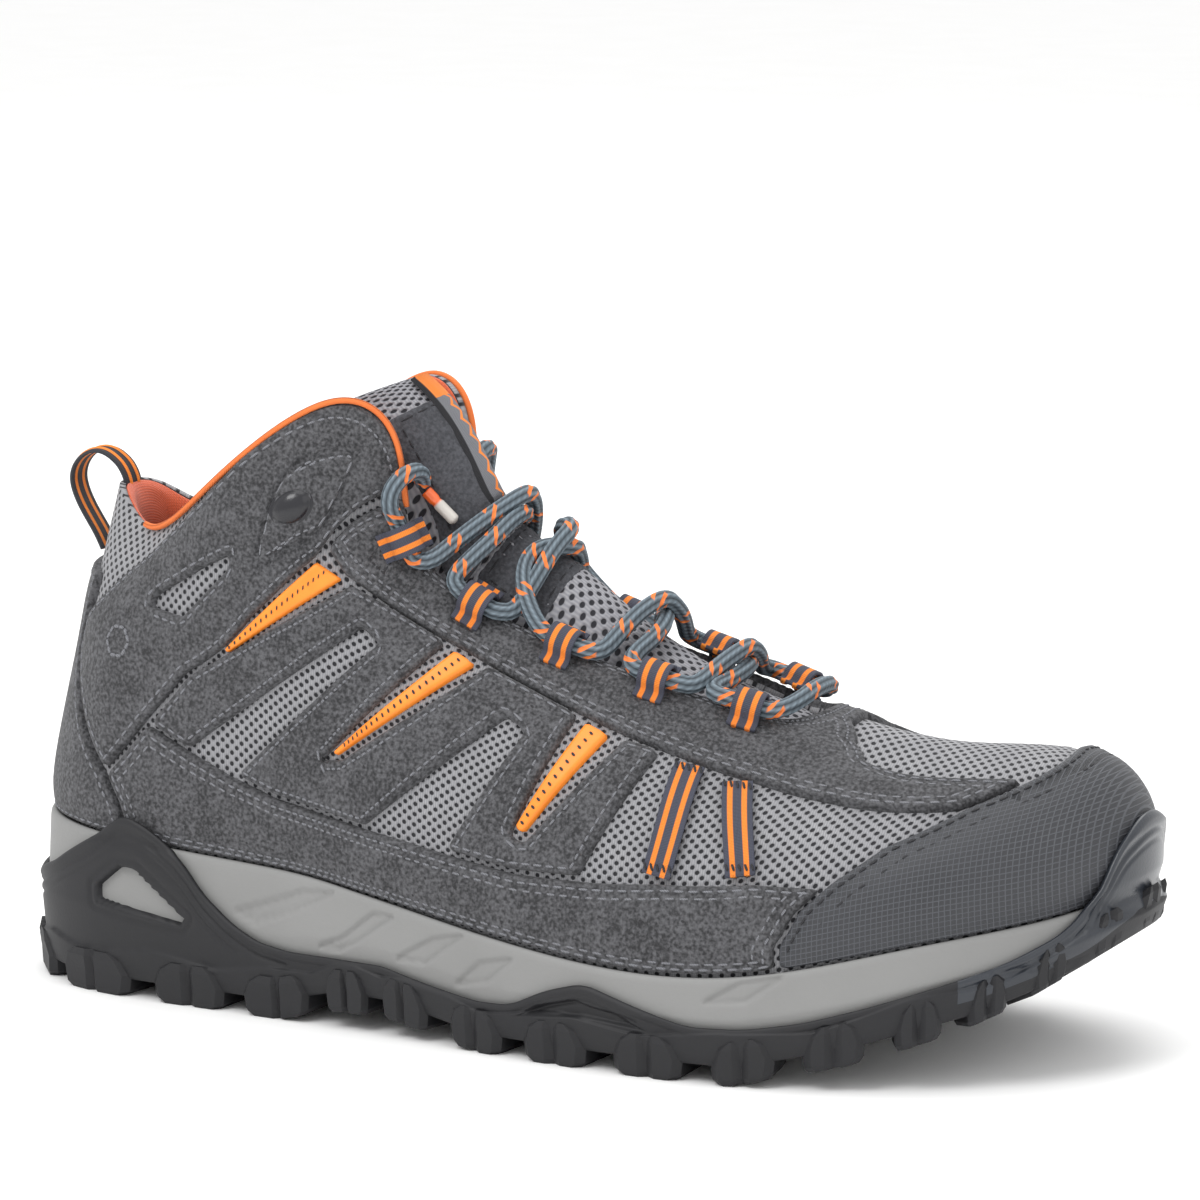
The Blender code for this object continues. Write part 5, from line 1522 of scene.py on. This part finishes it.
pull_tape = finish("pull_tape", paint_pull)
bend = np.array([*PULL_LOOP, *PULL_TUCK], float)
bend = spline_weights(np.linspace(0, len(bend) - 1, 70), len(bend)) @ bend
centre = np.stack([bend[:, 0], np.zeros(len(bend)), bend[:, 1]], 1)
tape("pull_loop", centre, np.tile([0.0, -1.0, 0.0], (len(centre), 1)), width=PULL_WIDTH,
     thick=PULL_THICK, ribs=PULL_RIBS, look=pull_tape, body="heel_loop", nodes=["pull_loop"], slot="webbing")

# --- Lace ---------------------------------------------------------------------------------
# A round grey-blue braided lace with fine lengthwise ribs and small orange flecks. It crosses
# the tongue four times, runs straight across at the bottom, and ends in plastic tips.

LACE_IN_LOOP = 5.4
LACE_TAIL = [(112.6, 13.6, 133.4), (113.3, 15.6, 135.8), (113.6, 19.6, 137.3),
             (112.6, 24.6, 136.8), (110.6, 27.6, 133.2), (110.1, 27.4, 129)]
LACE_LEAVE = [
    [(118.6, 21.6, 115.0), (123, 16.6, 117.6), (128.7, 9.8, 121.8)],
    [(140.6, 18.8, 103.6), (143.6, 13.4, 109.4), (145.8, 7, 115.3)],
    [(163.8, 18.4, 95.0), (166.5, 12, 98.2), (169.5, 6, 101.3)],
    [(188.4, 17.3, 88.6), (190.8, 11.5, 89.8), (193, 6, 91)],
]
LACE_CROSS = [(135, 0, 125.6), (148, 0, 117.8), (173, 0, 101.8), (195.5, 0, 91.4)]
LACE_ARRIVE = [
    [(133.8, 6, 124.8), (131.3, 12, 120.4), (127.6, 18, 115.6), (124.6, 21.6, 111.4)],
    [(141, 6.5, 118.2), (139.5, 12, 114), (142, 17, 108.5), (146, 20, 102.8)],
    [(174, 5, 99.8), (173, 10.5, 97.3), (171.3, 15.8, 95), (172, 18.9, 93.2)],
    [(195.5, 5, 90.4), (194, 10, 89), (192.4, 14.6, 88.2), (193.6, 17.8, 87.4)],
]
LACE_BAR = [(211, 13.3, 84.4), (213.5, 9, 86.2), (214.3, 4, 87.6)]
LACE_HUMP = [2.0, 3.4, 5.2, 3.4, 2.0]
AGLET_RUN = [(113.4, 13.4, 131.2), (120.8, 11.6, 123.6)]
BRAID_RADIUS, BRAID_RIBS, BRAID_SIDES = 2.1, 7, 35
TIP_RADIUS = 1.55


def through_loop(station, side):
    """Points in a row along a loop's axis, running forward."""
    small = 0.02
    if side > 0:
        station, small = ROUND - station, -small
    middle = skin([station], [LOOP_RING], LACE_LIFT)[0]
    along = (skin([station + small], [LOOP_RING]) - skin([station - small], [LOOP_RING]))[0]
    along /= np.linalg.norm(along)
    spots = [middle + along * LACE_IN_LOOP * reach for reach in (-1, -0.6, 0, 0.6, 1)]
    return [(x, side * abs(y), z) for x, y, z in spots]


def lace_route():
    """The lace's route from one end to the other, in table millimetres."""
    ends = []
    for first in (-1, 1):
        side = first
        route = [(x, side * y, z) for x, y, z in LACE_TAIL]
        for row, station in enumerate(LOOP_STATIONS):
            route += through_loop(station, side)
            if row == len(LOOP_STATIONS) - 1:
                break
            over = side < 0
            cross = LACE_LEAVE[row] + [LACE_CROSS[row]]
            humps = [0.0, *LACE_HUMP[:3]]
            route += [(x, side * y, z + over * h) for (x, y, z), h in zip(cross, humps)]
            side = -side
            humps = [*LACE_HUMP[3:], 0.0, 0.0]
            route += [(x, side * y, z + over * h)
                      for (x, y, z), h in zip(LACE_ARRIVE[row], humps)]
        route += [(x, side * y, z) for x, y, z in LACE_BAR]
        ends.append(route)
    return np.array(ends[0] + ends[1][::-1], float)


def rounded_route(route, pitch):
    """A smooth curve that cuts the route's corners, at even steps."""
    path = route
    for _ in range(4):
        ahead = path[:-1] * 0.75 + path[1:] * 0.25
        behind = path[:-1] * 0.25 + path[1:] * 0.75
        inner = np.stack([ahead, behind], 1).reshape(-1, 3)
        path = np.vstack([path[:1], inner[1:-1], path[-1:]])
    run = np.concatenate([[0], np.cumsum(np.linalg.norm(np.diff(path, axis=0), axis=1))])
    at = np.linspace(0, run[-1], int(run[-1] / pitch))
    return np.stack([np.interp(at, run, path[:, k]) for k in range(3)], 1)


def paint_braid(tree):
    """Braided polyester cord: grey-blue ribs, with painted shade darkening the valleys between ribs and
    plaits, and flecks of orange yarn.
    """
    where = cloth_place(tree)
    run = add(tree, "SeparateXYZ", {0: where}, out=0)
    angle = add(tree, "SeparateXYZ", {0: where}, out=1)
    rib = calc(tree, "PINGPONG", calc(tree, "MULTIPLY", angle, BRAID_RIBS / (2 * math.pi)), 0.5)
    slant = calc(tree, "ADD", calc(tree, "MULTIPLY", angle, BRAID_RIBS / (2 * math.pi)),
                 calc(tree, "MULTIPLY", run, 0.55))
    plait = calc(tree, "MULTIPLY", calc(tree, "PINGPONG", slant, 0.5), 2.0)
    band = soft_step(tree, calc(tree, "PINGPONG", run, 6.0), 2.1, 1.5)
    streak = calc(tree, "GREATER_THAN", calc(tree, "PINGPONG", slant, 1.0), 0.62)
    # Painted shade: the colour darkens into the valleys between the ribs and at the plaits.
    shade = calc(tree, "MULTIPLY", calc(tree, "MULTIPLY", rib, 2.0),
                 between(tree, plait, 0.65, 1.0))
    base = mix(tree, shade, srgb("#2c353c"), srgb("#7f8d97"))
    colour = mix(tree, calc(tree, "MULTIPLY", band, streak), base, srgb("#ea7c38"))
    return colour, between(tree, plait, 0.65, 0.8), plait, 0.2


lace_braid = finish("lace_braid", paint_braid)
path = rounded_route(lace_route(), 0.9)
angles = 2 * math.pi * np.arange(BRAID_SIDES) / BRAID_SIDES
braid = BRAID_RADIUS * (1 - 0.07 * np.cos(BRAID_RIBS * angles))
tube("lace", path, np.tile(braid, (len(path), 1)), lace_braid, sides=BRAID_SIDES,
     nodes=["lace"], slot="lace_braid")


def paint_tip(tree):
    """Shrunk acetate film: hard and shiny, off-white with an orange band at the cord's end."""
    along = add(tree, "SeparateXYZ", {0: cloth_place(tree)}, out=0)
    dyed = soft_step(tree, along, 4.6, 3.8)
    grain = noise(tree, place(tree), 0.6)
    colour = mix(tree, dyed, srgb("#c9c4bd"), srgb("#f26a2c"))
    return colour, between(tree, grain, 0.2, 0.3), grain, 0.02


aglet_plastic = finish("aglet_plastic", paint_tip, Coat_Weight=0.6)
for side, sign in (("lateral", -1), ("medial", 1)):
    ends = np.array([(x, sign * y, z) for x, y, z in AGLET_RUN], float)
    share = np.linspace(0, 1, 30)[:, None]
    run = ends[0] * (1 - share) + ends[1] * share
    radius = TIP_RADIUS * np.sqrt(1 - np.clip((share[:, 0] - 0.9) / 0.1, 0, 0.96) ** 2)
    radius *= 1 - 0.18 * np.exp(-(((share[:, 0] - 0.35) / 0.05) ** 2))
    tube(f"aglet_{side}", run, radius, aglet_plastic, sides=20, nodes=[f"aglet_{side}"],
         slot="aglet_plastic")

# --- Ankle buttons and emblem -------------------------------------------------------------
# A glossy black oval dome over each ankle, inside a stitched tab with rounded corners, and a
# plain six-sided stitched outline further back.

BUTTON_SPOT = (4.17, 4.37)
EMBLEM_SPOT = (2.04, 3.36)
BUTTON_LONG, BUTTON_SHORT = 6.3, 4.7
BUTTON_TILT = 22
STITCH_LONG, STITCH_SHORT = 8.6, 6.6
EMBLEM_RADIUS = 4.6


def paint_button(tree):
    """Polished thermoplastic rubber: near black, with a small bright highlight."""
    return paint_rubber(tree, "#1a1a1e", "#26262b", 0.16, 0.26)


button_rubber = finish("button_rubber", paint_button)

for side in ("lateral", "medial"):
    node = f"ankle_button_{side}"
    overlay = f"collar_overlay_{side}"
    station, ring = BUTTON_SPOT
    if side == "medial":
        station = ROUND - station
    here = skin([station], [ring], 2.4)[0]
    out = skin_normals(np.array([station]), np.array([ring]))[0]
    along = (skin([station + 0.02], [ring]) - skin([station - 0.02], [ring]))[0]
    along *= (1 if side == "lateral" else -1) / np.linalg.norm(along)
    up = np.cross(out, along) * (1 if side == "lateral" else -1)
    tilt = math.radians(BUTTON_TILT)
    long_way = along * math.cos(tilt) + up * math.sin(tilt)
    short_way = up * math.cos(tilt) - along * math.sin(tilt)
    profile = [(1.0, -1.0), (1.02, 0.0), (0.99, 0.35), (0.93, 0.6), (0.86, 0.55), (0.82, 0.6),
               (0.76, 1.1), (0.62, 1.7), (0.42, 2.15), (0.2, 2.4), (0.04, 2.45)]
    points = []
    for reach, height in profile:
        for k in range(40):
            a = 2 * math.pi * k / 40
            points.append(here + long_way * BUTTON_LONG * reach * math.cos(a)
                          + short_way * BUTTON_SHORT * reach * math.sin(a) + out * height)
    faces = grid_faces(len(profile), 40)
    faces.append(tuple(range(len(points) - 40, len(points))))
    piece(node, points, faces, button_rubber, nodes=[node], slot="black_rubber")
    centre = flat([(station, ring)])[0]
    sign = 1 if side == "lateral" else -1
    angles = np.linspace(0, 2 * math.pi, 19)[:-1]
    spots = []
    for a in angles:
        turn = np.array([-STITCH_LONG * math.sin(a) * sign, STITCH_SHORT * math.cos(a)])
        spot = np.array([STITCH_LONG * math.cos(a) * sign, STITCH_SHORT * math.sin(a)])
        spots.append((centre + spot, turn / np.linalg.norm(turn)))
    stitches(f"button_stitches_{side}", spots, 2.65, thread, [overlay])
    middle = flat([EMBLEM_SPOT if side == "lateral" else (ROUND - EMBLEM_SPOT[0], EMBLEM_SPOT[1])])
    hexagon = [middle[0] + EMBLEM_RADIUS * np.array([math.cos(a), math.sin(a)])
               for a in np.arange(7) * math.pi / 3]
    spots = []
    for a, b in zip(hexagon, hexagon[1:]):
        for t in (0.27, 0.73):
            spots.append((a + (b - a) * t, (b - a) / np.linalg.norm(b - a)))
    stitches(f"emblem_{side}", spots, 2.6, thread, [overlay], radius=0.42)

# --- Footbed ------------------------------------------------------------------------------
# A removable foam footbed with a raised rim and a dark woven top, seen down the opening.


def floor_ring(stations, inner, rise):
    """A ring inside the lasting margin, above the upper's lower edge."""
    ring = skin(stations, 0.0) - plan_normals(stations) * inner
    ring[:, 2] += rise
    return ring


def paint_footbed(tree):
    """Brushed polyester cloth bonded to foam: dark grey and matt with a slanted weave."""
    where = place(tree)
    weave = add(tree, "TexWave", {"Vector": where, "Scale": 0.35}, bands_direction="DIAGONAL")
    wear = noise(tree, where, 30.0)
    colour = mix(tree, wear, srgb("#393a3f"), srgb("#525358"))
    return colour, between(tree, weave, 0.85, 0.95), weave, 0.15


footbed_cloth = finish("footbed_cloth", paint_footbed)
s = np.arange(144) * ROUND / 144
cup = read_line([(0, 9), (3, 8), (5, 6.5), (7, 4.5), (12, 3.5)], fold(s))
rings = [floor_ring(s, 8.0, 2.7), floor_ring(s, 5.3, 3.1)]
for inner, rise in ((4.5, 0.55), (4.2, 0.95), (4.6, 1.05), (5.6, 0.9), (8.0, 0.45), (11, 0.15),
                    (14, 0.04), (17, 0.0)):
    ring = floor_ring(s, inner, 2.6 + 4.0 * (rise < 0.5))
    ring[:, 2] = floor_ring(s, 4.2, 2.6)[:, 2] + 3.6 * (1 - rise) + (cup + 0.2) * rise
    rings.append(ring)
points = np.vstack(rings)
faces = grid_faces(len(rings), len(s))
half, last = len(s) // 2, (len(rings) - 1) * len(s)
faces += [(last + i, last + i + 1, last + (len(s) - i - 1), last + (len(s) - i) % len(s))
          for i in range(1, half - 1)]
faces += [(last, last + 1, last + len(s) - 1), (last + half - 1, last + half, last + half + 1)]
bed = piece("footbed", points, faces, footbed_cloth, body="removable_footbed",
            nodes=["footbed"], slot="footbed_foam")

# --- Pieces hidden inside -----------------------------------------------------------------
# The insole board, the heel counter, the toe puff and the steel shank keep their packed
# shapes and only get surfaces of their own.


def paint_board(tree):
    """Pressed cellulose board: dry, pale brown and matt, with tangled fibres."""
    fibre = noise(tree, place(tree), 1.5, 6.0)
    colour = mix(tree, fibre, srgb("#8f8068"), srgb("#b5a68a"))
    return colour, between(tree, fibre, 0.8, 0.95), fibre, 0.1


def paint_steel(tree):
    """Tempered spring steel strip: grey metal with a rolled, slightly uneven shine."""
    brushed = noise(tree, place(tree), 0.7, 5.0)
    colour = mix(tree, brushed, srgb("#8d9094"), srgb("#a9acb0"))
    return colour, between(tree, brushed, 0.25, 0.45), brushed, 0.02


fibre_board = finish("fibre_board", paint_board)
spring_steel = finish("spring_steel", paint_steel, Metallic=1.0)
for node, look in (("insole_board", fibre_board), ("heel_counter", fibre_board),
                   ("toe_puff", fibre_board), ("shank", spring_steel)):
    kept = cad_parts[node]
    kept.data.materials.clear()
    kept.data.materials.append(look)
